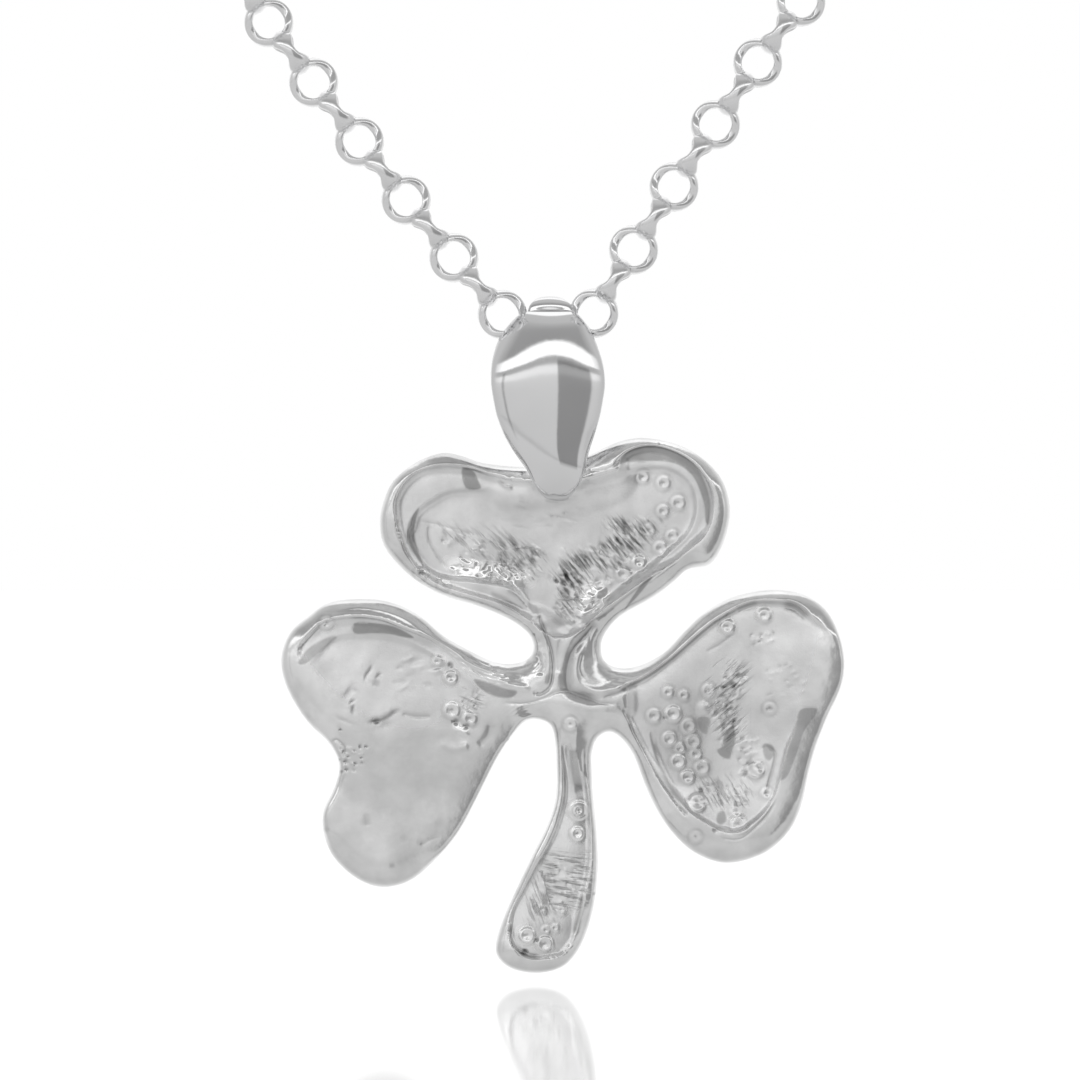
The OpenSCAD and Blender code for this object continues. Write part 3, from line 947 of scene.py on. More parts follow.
        Stroke(((367, 812), (368, 826)), 3.0, -0.02, 0.92),
        Stroke(((420, 845), (432, 838), (440, 836)), 2.0, -0.03, 0.92),
        # Right leaf
        Stroke(((617, 690), (639, 681), (656, 671), (672, 659), (689, 644), (705, 630), (720, 619),
                (740, 608)), 1.5, -0.07, 0.6, taper=0.05),
        Stroke(((736, 610), (746, 606), (758, 603)), 3.0, -0.06, 0.72),
        Stroke(((780, 603), (792, 605), (802, 611), (809, 619)), 4.6, -0.05, 0.7, Section.CRISP, 0.25),
        Stroke(((705, 652), (720, 644), (734, 633)), 1.6, -0.03, 0.88),
        Stroke(((763, 744), (774, 751), (774, 762), (768, 784), (765, 800)), 1.5, -0.07, 0.72),
        Stroke(((628, 720), (643, 749), (656, 774), (672, 797), (688, 816)), 1.9, -0.09, 0.62, taper=0.05),
        Stroke(((651, 728), (653, 744), (659, 763), (669, 784), (682, 803)), 1.4, -0.06, 0.72),
        Stroke(((716, 836), (738, 838), (754, 827), (768, 812), (776, 796)), 1.3, -0.05, 0.75),
        Stroke(((617, 700), (625, 712), (634, 726)), 3.0, -0.04, 0.85),
        Stroke(((742, 765), (748, 775), (757, 778), (764, 770)), 2.0, 0.07, 0.8),
        Stroke(((609, 737), (622, 748), (634, 768)), 1.6, -0.04, 0.8),
        # Stem
        Stroke(((573, 747), (574, 760), (576, 775), (580, 795)), 4.2, -0.02, 0.68, Section.CRISP, 0.1),
        Stroke(((512, 922), (511, 936), (517, 948), (528, 955), (543, 956)), 2.2, -0.1, 0.5),
        Stroke(((582, 893), (579, 912), (573, 936)), 2.0, -0.08, 0.55),
        Stroke(((554, 840), (547, 853), (541, 866)), 1.2, -0.04, 0.8),
        Stroke(((562, 742), (564, 770), (563, 800), (556, 826)), 1.3, -0.04, 0.78),
        Stroke(((584, 745), (584, 770), (588, 800), (590, 832)), 1.3, -0.04, 0.78),
    )
    pits: tuple[Pit, ...] = (
        Pit((421, 573), 3.4), Pit((446, 586), 2.2, 0.04, 0.75), Pit((574, 621), 1.2), Pit((659, 444), 1.0),
        Pit((347, 769), 1.8), Pit((355, 750), 1.2), Pit((361, 747), 1.2), Pit((367, 746), 1.4),
        Pit((356, 763), 1.6), Pit((342, 771), 1.6), Pit((362, 757), 1.2), Pit((349, 756), 1.2),
        Pit((341, 729), 1.0), Pit((340, 759), 1.3), Pit((456, 721), 3.2, 0.12, 0.45),
        Pit((467, 725), 2.8, 0.1, 0.5), Pit((451, 665), 2.6, 0.08, 0.55), Pit((366, 822), 5.0, 0.01, 0.88),
        Pit((327, 829), 3.0, 0.01, 0.85), Pit((393, 864), 2.6, 0.02, 0.78),
        Pit((421, 842), 4.0, 0.01, 0.88), Pit((404, 838), 3.4, 0.01, 0.9), Pit((440, 822), 5.0, 0.01, 0.92),
        Pit((377, 683), 4.0, 0.03, 0.74), Pit((377, 720.5), 3.4, 0.06, 0.55),
        Pit((341, 729), 1.4, 0.05, 0.6), Pit((733, 684), 3.0, 0.08, 0.6), Pit((716, 829), 3.2, 0.06, 0.72),
        Pit((769, 709), 3.4, 0.06, 0.7), Pit((701, 790), 2.4, 0.08, 0.5), Pit((525, 951), 3.0, 0.1, 0.45),
        Pit((537, 939), 2.2, 0.08, 0.45), Pit((594, 893), 1.8, 0.05, 0.55), Pit((509, 740), 1.8, 0.04, 0.5),
        Pit((534, 634), 1.2, 0.03, 0.5), Pit((666, 717), 2.2, 0.06, 0.7),
    )
    ringlets: tuple[Ringlet, ...] = (
        Ringlet((663.5, 483), 6.3), Ringlet((678, 503), 6.5), Ringlet((663, 511), 5.5),
        Ringlet((649, 530), 6), Ringlet((672, 536), 5.5), Ringlet((660, 548), 6),
        Ringlet((639, 562), 6, 0.09), Ringlet((623, 574), 6.5), Ringlet((643, 477), 5.5, 0.04),
        Ringlet((444, 584), 5), Ringlet((421, 573), 5, 0.05), Ringlet((451, 677), 6.2, 0.08),
        Ringlet((437.5, 661), 4.4, 0.05), Ringlet((452, 710), 7.5, 0.06), Ringlet((470, 718), 6.5, 0.06),
        Ringlet((327, 623), 5.5, 0.08), Ringlet((764, 615), 6), Ringlet((727, 626.5), 6.5, 0.08),
        Ringlet((668, 692), 4.8, 0.05), Ringlet((683.5, 695), 4.6), Ringlet((708.5, 690), 6),
        Ringlet((653.6, 715.5), 6.5), Ringlet((673, 713.5), 7.5, 0.09), Ringlet((688.5, 726), 7),
        Ringlet((669, 738.5), 6.5, 0.09), Ringlet((693.3, 741.5), 7), Ringlet((696, 754), 5.6),
        Ringlet((678, 761.5), 7, 0.09), Ringlet((702, 767.5), 7), Ringlet((687.5, 777), 6.5, 0.09),
        Ringlet((697, 802), 8.6, 0.08), Ringlet((695, 836), 5, 0.04), Ringlet((736, 811), 5.6),
        Ringlet((738, 824), 7), Ringlet((766, 793), 5), Ringlet((758.5, 768), 6, 0.07),
        Ringlet((680, 748), 5, 0.05), Ringlet((769, 708), 5, 0.05), Ringlet((570, 723.5), 5.6),
        Ringlet((578.7, 810), 9, 0.08), Ringlet((578.7, 810), 4.2, 0.06),
        Ringlet((577.5, 833), 6, 0.08, tone=0.45), Ringlet((527, 934.5), 7.4, 0.11, tone=0.6),
        Ringlet((545, 943), 7.4, 0.11, tone=0.6), Ringlet((546, 929), 4), Ringlet((555, 927), 3.6),
        Ringlet((561, 909), 4.6, 0.05), Ringlet((542, 908), 4, 0.05),
    )
    patches: tuple[Patch, ...] = (
        # Top leaf: dark crescents of painted shade under the rims, then lighter ground
        Patch(((618, 464), (626, 453), (638, 447.5), (654, 445.5), (670, 450), (686, 458), (699, 471),
               (707, 489), (710, 506), (708, 524), (705, 520), (704, 505), (699, 489), (693, 477),
               (682, 467), (668, 462), (650, 461), (630, 462)), 0.5, 1.2),
        Patch(((462, 469), (473, 471), (478, 480), (480.5, 488.5), (466, 488)), 0.5, 1.0),
        Patch(((419, 508), (411, 518), (407, 530), (408, 542), (414, 554), (423, 565), (419, 552),
               (415.5, 540), (414.5, 528), (417, 516)), 0.52, 1.2),
        Patch(((428, 458), (444, 455), (462, 459), (476, 464), (462, 465), (446, 464), (432, 465)), 0.72,
              3.0),
        Patch(((652, 577), (640, 593), (628, 606), (624, 610), (632, 597), (643, 582)), 0.5, 1.0),
        Patch(((496, 501), (520, 503), (548, 502), (556, 507), (530, 511), (502, 510)), 0.86, 5.0),
        Patch(((492, 592), (506, 597), (520, 611), (508, 608), (495, 600)), 0.72, 2.5),
        Patch(((540, 624), (552, 619), (562, 622), (556, 630), (544, 630)), 0.66, 3.0),
        # Left leaf
        Patch(((355, 623), (376, 623), (396, 627), (414, 637), (404, 637), (390, 634), (372, 633),
               (355, 633)), 0.48, 0.9),
        Patch(((474, 679), (488, 682), (504, 688), (517, 691), (511, 697), (496, 696), (482, 689)), 0.52,
              1.2),
        Patch(((299, 662), (306, 651), (318, 642), (332, 636), (337, 637.5), (327, 646), (316, 656),
               (305, 664)), 0.62, 1.6),
        Patch(((350, 735), (420, 728), (470, 738), (488, 750), (470, 800), (435, 850), (400, 872),
               (375, 820), (348, 790)), 0.93, 20),
        # Right leaf
        Patch(((800, 709), (816, 708), (813, 717), (804, 729), (798, 747), (791, 766), (786, 776),
               (780, 779), (782, 766), (788, 745), (795, 724)), 0.6, 1.2),
        Patch(((733, 725), (724, 736), (722, 746), (717, 750), (721, 756), (729, 758.5), (732, 750),
               (735, 740)), 0.55, 1.0),
        Patch(((697, 720), (702, 716), (710, 719), (708, 728), (706, 734), (700, 730)), 0.7, 1.0),
        Patch(((763, 744), (772, 745), (774, 753), (769, 760), (764, 756)), 0.62, 1.2),
        Patch(((718, 812), (724, 811), (726, 820), (720, 824), (716, 820)), 0.58, 1.2),
        Patch(((648, 700), (700, 690), (708, 740), (716, 790), (704, 806), (672, 775), (650, 735)), 0.93,
              8.0),
        # Painted highlights: lighter ground
        Patch(((432, 500), (470, 494), (510, 515), (520, 535), (470, 535), (432, 520)), 1.06, 14),
        Patch(((446, 556), (480, 560), (510, 566), (534, 578), (530, 588), (500, 584), (462, 578),
               (446, 568)), 1.09, 4, polish=1.0),
        Patch(((575, 592), (590, 585), (610, 590), (604, 606), (586, 616), (575, 606)), 1.075, 4,
              polish=1.0),
        Patch(((625, 556), (640, 552), (648, 560), (640, 572), (626, 572)), 1.06, 4, polish=0.8),
        Patch(((380, 521), (384, 500), (394, 480), (412, 466), (406, 484), (396, 502), (394, 523),
               (402, 550), (386, 543)), 1.06, 4),
        Patch(((400, 500), (415, 478), (445, 468), (470, 474), (462, 487), (432, 497), (413, 520),
               (404, 530)), 1.06, 4),
        Patch(((560, 800), (586, 800), (586, 860), (575, 930), (540, 950), (515, 935), (530, 890),
               (552, 845)), 1.06, 5),
        Patch(((610, 478), (660, 480), (690, 510), (676, 545), (650, 520), (610, 500)), 1.05, 14),
        Patch(((318, 650), (350, 640), (410, 650), (440, 680), (420, 705), (340, 715), (310, 690)), 1.06,
              16),
        Patch(((345, 820), (375, 815), (395, 850), (370, 870), (345, 852)), 1.05, 14),
        Patch(((452, 722), (462, 724), (470, 736), (466, 746), (458, 738)), 1.09, 3, polish=0.8),
        Patch(((700, 620), (750, 608), (800, 625), (815, 660), (760, 650), (715, 650)), 1.03, 12),
        # Score marks
        Patch(((440, 524), (470, 530), (500, 529), (530, 545), (546, 558), (534, 574), (508, 568),
               (470, 552), (448, 540)), scoring=0.5, bearing=46, soft=9),
        Patch(((505, 548), (530, 548), (547, 560), (534, 578), (512, 572), (500, 560)), scoring=0.75,
              bearing=52, soft=6),
        Patch(((610, 518), (650, 523), (664, 518), (644, 548), (616, 560), (598, 556), (606, 538)),
              scoring=1.0, bearing=50, soft=7),
        Patch(((556, 566), (590, 550), (612, 558), (600, 576), (584, 592), (566, 602), (554, 590)),
              scoring=1.0, bearing=52, soft=7),
        Patch(((560, 600), (582, 600), (572, 618), (558, 616)), scoring=0.8, bearing=50, soft=6),
        Patch(((712, 668), (748, 666), (744, 700), (742, 738), (722, 742), (708, 706)), scoring=0.8,
              bearing=-40, soft=8),
        Patch(((546, 856), (588, 852), (582, 905), (548, 903)), scoring=0.8, bearing=8, soft=7),
        Patch(((532, 880), (552, 874), (552, 918), (526, 920)), scoring=0.6, bearing=70, soft=7),
        Patch(((700, 780), (750, 782), (744, 806), (706, 806)), scoring=0.6, bearing=60, soft=8),
        Patch(((462, 688), (482, 690), (480, 712), (464, 708)), scoring=0.5, bearing=20, soft=5),
    )
    # Smooth round grains: x, y, radius and rise in mm
    grains: Rows = ((704, 708.5, 7.0, 0.16), (702, 801, 3.0, 0.06))
    hatchings: tuple[Hatching, ...] = (
        Hatching(((440, 524), (540, 545), (545, 575), (450, 560)), 40, 40, 20, 1.3, 0.05, 0.8, 3),
        Hatching(((500, 545), (542, 548), (540, 582), (500, 570)), 50, 40, 17, 1.4, 0.08, 0.7, 5),
        Hatching(((448, 554), (535, 564), (530, 584), (452, 577)), 18, 34, 11, 2.3, 0.075, 1.0, 7),
        Hatching(((440, 532), (486, 540), (484, 554), (446, 550)), 24, 9, 10, 2.2, 0.065, 1.0, 79),
        Hatching(((610, 520), (650, 520), (640, 548), (600, 560)), 50, 55, 15, 1.3, 0.07, 0.62, 11),
        Hatching(((560, 550), (625, 545), (640, 570), (560, 600)), 42, 70, 17, 1.3, 0.06, 0.7, 13),
        Hatching(((556, 574), (582, 574), (580, 596), (556, 596)), 45, 34, 12, 1.5, 0.09, 0.5, 17),
        Hatching(((575, 582), (612, 576), (602, 606), (572, 610)), -25, 24, 11, 2.3, 0.075, 1.0, 19),
        Hatching(((500, 498), (555, 498), (610, 515), (520, 530)), 12, 26, 16, 1.4, 0.025, 0.9, 23),
        Hatching(((560, 600), (585, 600), (575, 630), (555, 615)), 40, 22, 12, 1.4, 0.07, 0.8, 29),
        Hatching(((720, 674), (748, 672), (738, 700), (714, 720)), -35, 46, 9, 1.3, 0.06, 0.6, 31),
        Hatching(((712, 700), (732, 700), (742, 735), (720, 740)), -40, 40, 10, 1.3, 0.06, 0.7, 37),
        Hatching(((750, 633), (775, 632), (772, 642), (752, 644)), -40, 16, 7, 1.2, 0.04, 0.75, 41),
        Hatching(((740, 735), (765, 740), (762, 775), (738, 775)), -30, 34, 10, 1.4, 0.06, 0.8, 43),
        Hatching(((705, 780), (750, 785), (745, 805), (710, 805)), 60, 34, 9, 1.3, 0.05, 0.75, 47),
        Hatching(((765, 670), (800, 660), (805, 690), (770, 705)), -25, 18, 9, 1.2, 0.03, 0.88, 53),
        Hatching(((550, 858), (586, 856), (580, 902), (545, 900)), 20, 60, 9, 1.2, 0.05, 0.72, 59),
        Hatching(((536, 880), (560, 880), (560, 920), (528, 920)), 65, 24, 10, 1.2, 0.04, 0.85, 61),
        Hatching(((340, 745), (366, 742), (362, 770), (345, 768)), 20, 22, 6, 1.2, 0.05, 0.75, 67),
        Hatching(((465, 690), (480, 690), (478, 712), (462, 708)), 110, 16, 11, 1.0, 0.04, 0.85, 71),
        Hatching(((395, 655), (440, 668), (430, 690), (390, 690)), 160, 14, 22, 2.6, 0.03, 0.97, 73),
    )
    # Ripples that follow the edge round two places
    ripple_middles: Pixels = ((500, 672), (605, 668))
    ripple_reach: float = 62.0
    ripple_depth: float = 0.035
    ripple_spacing: float = 0.21
    ripple_band: float = 0.7

    def local_size(self, places: np.ndarray, plain: float, spots: Rows, border: float) -> np.ndarray:
        """A size that changes softly round some spots.

        Args:
            places: One row of x and z for each place.
            plain: The size away from the spots.
            spots: x, y and reach of each spot in pixels, and the size at it.
            border: The share of the reach that the change takes.

        Returns:
            The size at each place.
        """
        sizes = np.full(len(places), plain)
        for x, y, reach, size in spots:
            inward = PHOTO.length(reach) - PHOTO.gap(places, (x, y))
            sizes += (size - plain) * ease(inward / PHOTO.length(border * reach))
        return sizes

    def height(self, places: np.ndarray) -> np.ndarray:
        """Height of the front above the back face, before its marks.

        Args:
            places: One row of x and z for each place.

        Returns:
            The heights in mm.
        """
        edge, _ = distance_to_line(places, self.silhouette(), True)
        radius = self.local_size(places, self.edge_radius, self.soft_edges, self.soft_border)
        arc = np.sqrt(1 - (1 - np.clip(edge / radius, 0, 1)) ** 2)
        roll = self.local_size(places, self.roll, self.flat_edges, self.flat_border)
        roll = np.maximum(roll, self.least_roll)
        height = self.wall + (self.crown - self.wall - roll) * arc
        height += roll * (1 - (1 - np.clip(edge / self.roll_reach, 0, 1)) ** 3)
        height += self.dome * (1 - (1 - np.clip(edge / self.dome_reach, 0, 1)) ** 2)
        for step in self.steps:
            height -= step.depth(places)
        return height

    def silhouette(self) -> np.ndarray:
        """The casting's smooth outline."""
        return curve_through(PHOTO.flat(self.outline), 4, True)

    def marks(self) -> list[Stroke]:
        """Every stroke and tool mark."""
        return list(self.strokes) + [mark for patch in self.hatchings for mark in patch.strokes()]

    def detailed(self, places: np.ndarray) -> np.ndarray:
        """Which places have detail that asks for smaller faces.

        Args:
            places: One row of x and z for each place.

        Returns:
            Whether each place has such detail.
        """
        fine = np.zeros(len(places), bool)
        for shore in (shore for step in self.steps for shore in step.shores):
            if shore.steep() and len(shore.line) > 1:
                distance, _ = distance_to_line(places, curve_through(PHOTO.flat(shore.line), 2, False))
                fine |= distance < self.fine_gap
        for mark in self.marks():
            near, strength = mark.strength(places)
            fine[near[strength > self.fine_strength]] = True
        for patch in self.patches:
            if patch.soft < self.fine_border:
                near, share = patch.share(places)
                fine[near[(share > 0.01) & (share < 0.99)]] = True
        for mark in (*self.pits, *self.ringlets):
            fine |= PHOTO.gap(places, mark.place) < PHOTO.length(mark.radius) + self.fine_margin
        return fine

    def plate(self) -> bpy.types.Object:
        """A flat plate with the casting's outline, in small even faces, finer where it has detail.

        Returns:
            The plate, in millimetres.
        """
        outline = self.silhouette()
        bpy.ops.object.select_all(action="DESELECT")
        bpy.ops.mesh.primitive_circle_add(vertices=len(outline), radius=16, fill_type="NGON")
        piece = bpy.context.object
        piece.name = "casting"
        flat = np.stack([outline[:, 0], np.full(len(outline), self.back), outline[:, 1]], axis=1)
        write_places(piece.data, flat)
        edit(piece)
        bpy.ops.mesh.extrude_region_move(TRANSFORM_OT_translate={"value": (0, -self.wall, 0)})
        bpy.ops.mesh.select_all(action="SELECT")
        bpy.ops.mesh.normals_make_consistent(inside=False)
        close_edit()
        apply_modifier(piece, "REMESH", mode="VOXEL", voxel_size=self.voxel)
        faces = piece.data.polygons
        middles = np.empty(len(faces) * 3, np.float32)
        faces.foreach_get("center", middles)
        middles = middles.reshape(-1, 3).astype(float)
        front = middles[:, 1] < self.back - self.wall + self.front_slack
        edit(piece, front & self.detailed(middles[:, [0, 2]]))
        bpy.ops.mesh.subdivide(number_cuts=1)
        close_edit()
        return piece

    def add_patches(self, places: np.ndarray, tone: np.ndarray, satin: np.ndarray) -> np.ndarray:
        """Adds the patches' painted shade, painted highlights and polish, and works out their score marks.

        Args:
            places: One row of x and z for each place.
            tone: The painted light and shade at each place, which is changed.
            satin: The satin at each place, which is changed.

        Returns:
            Three rows: strength of the score marks at each place, and how far it lies across and
            along them.
        """
        marks = np.zeros((3, len(places)))
        scoring, across, along = marks
        for patch in self.patches:
            near, share = patch.share(places)
            # the patch's painted shade, or its painted highlight where its value is above 1
            tone[near] *= 1 - (1 - patch.tone) * share
            satin[near] *= 1 - patch.polish * share
            marked = near[patch.scoring * share > scoring[near]]
            scoring[near] = np.maximum(scoring[near], patch.scoring * share)
            way = math.radians(patch.bearing)
            along[marked] = places[marked] @ (math.cos(way), -math.sin(way))
            across[marked] = places[marked] @ (math.sin(way), math.cos(way))
        return marks

    def add_dots(self, places: np.ndarray, height: np.ndarray, tone: np.ndarray, satin: np.ndarray) -> None:
        """Adds the pits, bubbles and grains, with the painted shade and highlights of the pits and bubbles.

        Args:
            places: One row of x and z for each place.
            height: The front's height at each place, which is changed.
            tone: The painted light and shade at each place, which is changed.
            satin: The satin at each place, which is changed.
        """
        for pit in self.pits:
            strength = np.exp(-((PHOTO.gap(places, pit.place) / PHOTO.length(pit.radius)) ** 3))
            height -= pit.depth * strength
            # painted shade in the pit
            tone *= 1 - (1 - pit.tone) * strength
        for ringlet in self.ringlets:
            near, rise, shade = ringlet.shape(places)
            height[near] += rise
            # painted highlight on the bubble, painted shade on its dot and round it
            tone[near] *= shade
            satin[near] *= self.buffed
        for x, y, radius, rise in self.grains:
            share = PHOTO.gap(places, (x, y)) / PHOTO.length(radius)
            height += rise * np.sqrt(np.clip(1 - share**2, 0, 1))

    def sculpt(self, piece: bpy.types.Object) -> None:
        """Raises the front, rounds the back's edge and stores what the finish reads, the painted light and
        shade among it.

        Args:
            piece: The plate, whose mesh is changed.
        """
        solid = read_places(piece.data)
        places = solid[:, [0, 2]]
        start = self.back - solid[:, 1]
        edge, _ = distance_to_line(places, self.silhouette(), True)
        height = self.height(places)
        steep = sum(step.depth(places) for step in self.steps)
        satin = self.plain_satin + self.basin_satin * ease(steep / self.satin_depth)
        satin += self.inner_satin * ease((edge - self.satin_start) / self.satin_blend)
        # Painted light and shade: the plain level, then the marks' painted shade and highlights
        tone = np.full(len(places), self.plain_painted_light)
        for mark in self.marks():
            near, strength = mark.strength(places)
            height[near] += mark.rise * strength
            tone[near] *= 1 - (1 - mark.tone) * strength
        scoring, across, along = self.add_patches(places, tone, satin)
        self.add_dots(places, height, tone, satin)
        for middle in self.ripple_middles:
            near = ease(1 - PHOTO.gap(places, middle) / PHOTO.length(self.ripple_reach))
            near *= ease(2 - edge / self.ripple_band)
            wave = np.sin(edge / self.ripple_spacing * 2 * math.pi + places[:, 0])
            height += self.ripple_depth * near * wave
        rounding = np.clip(1 - edge / self.back_edge, 0, 1)
        behind = np.maximum(start, self.back_edge * (1 - np.sqrt(1 - rounding**2)))
        front = ease((start - self.front_start) / self.front_blend)
        solid[:, 1] = self.back - (front * height + (1 - front) * behind)
        write_places(piece.data, solid)
        for name, values in (
            (self.PAINTED_LIGHT_AND_SHADE, np.minimum(tone, 1)), (self.SATIN, np.clip(satin, 0, 1)), (self.SCORING, scoring),
            (self.ACROSS, across), (self.ALONG, along),
        ):
            write_attribute(piece.data, name, values)
        flat_back = piece.vertex_groups.new(name="flat back")
        flat = np.nonzero((start < self.flat_depth) & (edge > self.flat_inset))[0]
        flat_back.add(flat.tolist(), 1.0, "REPLACE")

    def build(self) -> bpy.types.Object:
        """The finished casting, in metres, on its swinging body.

        Returns:
            The piece that stands for the CAD node "pendant".
        """
        piece = self.plate()
        self.sculpt(piece)
        apply_modifier(
            piece, "DECIMATE", decimate_type="COLLAPSE", ratio=self.kept_faces, vertex_group="flat back"
        )
        piece.vertex_groups.clear()
        place_in_frame(piece, self.origin)
        smooth_shading(piece)
        dress(piece, CASTING_FINISH, "pendant")
        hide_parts("pendant")
        return piece


@dataclass
class Bail:
    """The puffed pear-shaped bail: a closed band round the chain."""

    origin: Vector
    around: int = 40
    steps: int = 6  # rows of faces for each row of the strap
    proud: float = 0.03
    foremost: float = -3.0
    height_step: float = 0.05
    smoothing: int = 8  # how many height steps the front is smoothed over
    every: int = 4  # which of the smoothed rows are kept
    # Front face, from its tail up: height, tilt in degrees, half width, thickness, set-back of the
    # edges, middle in x, and how far the face's crest lies to the right, as a share of the half width
    front: Rows = (
        (-7.3, -50, 0.7, 0.6, 0.1, 0.45, 0), (-7.05, -45, 1.02, 0.7, 0.15, 0.46, 0),
        (-6.65, -38, 1.32, 0.8, 0.2, 0.46, 0), (-5.9, -25, 1.62, 0.9, 0.38, 0.44, 0),
        (-5.3, -12, 1.88, 1.0, 0.5, 0.3, 0), (-4.7, -8, 2.17, 1.0, 0.62, 0.13, 0),
        (-3.8, -6, 2.6, 0.95, 0.8, 0.02, 0), (-2.5, -3.5, 3.04, 0.9, 0.95, -0.04, 0),
        (-0.8, 0, 3.34, 0.9, 1.02, -0.05, 0), (0.1, 5.2, 3.31, 0.9, 1.12, -0.08, 0.02),
        (0.8, 10.3, 3.2, 0.9, 1.25, -0.12, 0.05), (2.0, 19, 2.83, 0.85, 1.42, -0.15, 0.09),
        (2.4, 24, 2.58, 0.8, 1.32, -0.13, 0.1), (2.7, 29, 2.38, 0.75, 1.18, -0.1, 0.1),
        (3.0, 35, 2.16, 0.7, 1.02, -0.07, 0.1), (3.3, 48, 1.88, 0.65, 0.82, -0.03, 0.08),
        (3.48, 60, 1.62, 0.55, 0.62, 0.0, 0.06),
    )
    # Strap over the chain and down the back: depth, height, half width, thickness, set-back, middle in x
    strap: Rows = (
        (-0.76, 3.5, 1.42, 0.5, 0.05, 0.12), (-0.64, 3.95, 1.22, 0.5, 0.05, 0.1),
        (-0.32, 4.2, 0.95, 0.5, 0.05, 0.05), (0.3, 4.2, 0.95, 0.5, 0.05, 0.05),
        (0.95, 3.85, 1.1, 0.6, 0.05, 0.05), (1.8, 2.95, 1.1, 0.6, 0.05, 0), (2.42, 1.6, 1.1, 0.55, 0.05, 0),
        (2.6, 0, 1.1, 0.55, 0.05, 0), (2.52, -1.6, 1.1, 0.55, 0.05, 0.05),
        (1.9, -3.3, 1.15, 0.65, 0.05, 0.1), (1.0, -4.7, 1.15, 0.95, 0.05, 0.2),
        (0.6, -5.8, 1.0, 0.8, 0.05, 0.35), (0.2, -6.8, 0.75, 0.6, 0.05, 0.5),
        (-0.5, -7.26, 0.6, 0.55, 0.05, 0.6),
    )

    def sections(self) -> np.ndarray:
        """The band's sections, from the tail of the face up and round.

        Returns:
            A row for each section: depth, height, half width, thickness, set-back, middle, crest, and
            lift of the edges.
        """
        table = np.array(self.front)
        heights = np.arange(table[0, 0], table[-1, 0] + self.height_step / 2, self.height_step)
        reach = 2 * self.smoothing
        kernel = np.exp(-((np.arange(-reach, reach + 1) / self.smoothing) ** 2))
        kernel /= kernel.sum()
        columns = []
        for k in range(1, table.shape[1]):
            column = np.interp(heights, table[:, 0], table[:, k])
            column = np.pad(column, reach, mode="reflect", reflect_type="odd")
            columns.append(np.convolve(column, kernel, mode="valid"))
        tilt, half, thick, setback, middle, crest = columns
        tilt = np.radians(tilt)
        depth = np.cumsum(np.tan(tilt)) * self.height_step
        depth += self.foremost - depth.min()
        lift = thick / 2 * np.sin(tilt)
        depth = depth + thick / 2 * np.cos(tilt)
        rows = np.stack([depth, heights - lift, half, thick, setback, middle, crest, lift], axis=1)
        rows = rows[:: self.every]
        strap = np.pad(np.array(self.strap), ((0, 0), (0, 2)))
        rest = curve_through(np.concatenate([rows[-1:], strap, rows[:1]]), self.steps, False)
        return np.concatenate([rows, rest[1:-1]])

    def build(self) -> bpy.types.Object:
        """The finished bail, in metres, on its swinging body.

        Returns:
            The piece.
        """
        rows = self.sections()
        run = np.roll(rows[:, :2], -1, axis=0) - np.roll(rows[:, :2], 1, axis=0)
        out = np.stack([-run[:, 1], run[:, 0]], axis=1) / np.linalg.norm(run, axis=1)[:, None]
        turn = np.arange(self.around) * 2 * math.pi / self.around
        depth, height, half, thick, setback, middle, crest, lift = (rows[:, k, None] for k in range(8))
        x = middle + (half + self.proud / 2) * np.cos(turn)
        rise = (thick / 2 + self.proud) * np.sin(turn)
        fall_back = (np.cos(turn) - crest) ** 2 - crest**2 * np.sin(turn) ** 2
        y = depth + out[:, 0, None] * rise + setback * fall_back
        z = height + out[:, 1, None] * rise + lift * np.cos(turn) ** 2
        piece = closed_ring("bail", np.stack([x, y, z], axis=2))
        place_in_frame(piece, self.origin)
        smooth_shading(piece)
        dress(piece, BAIL_FINISH, "pendant")
        return piece


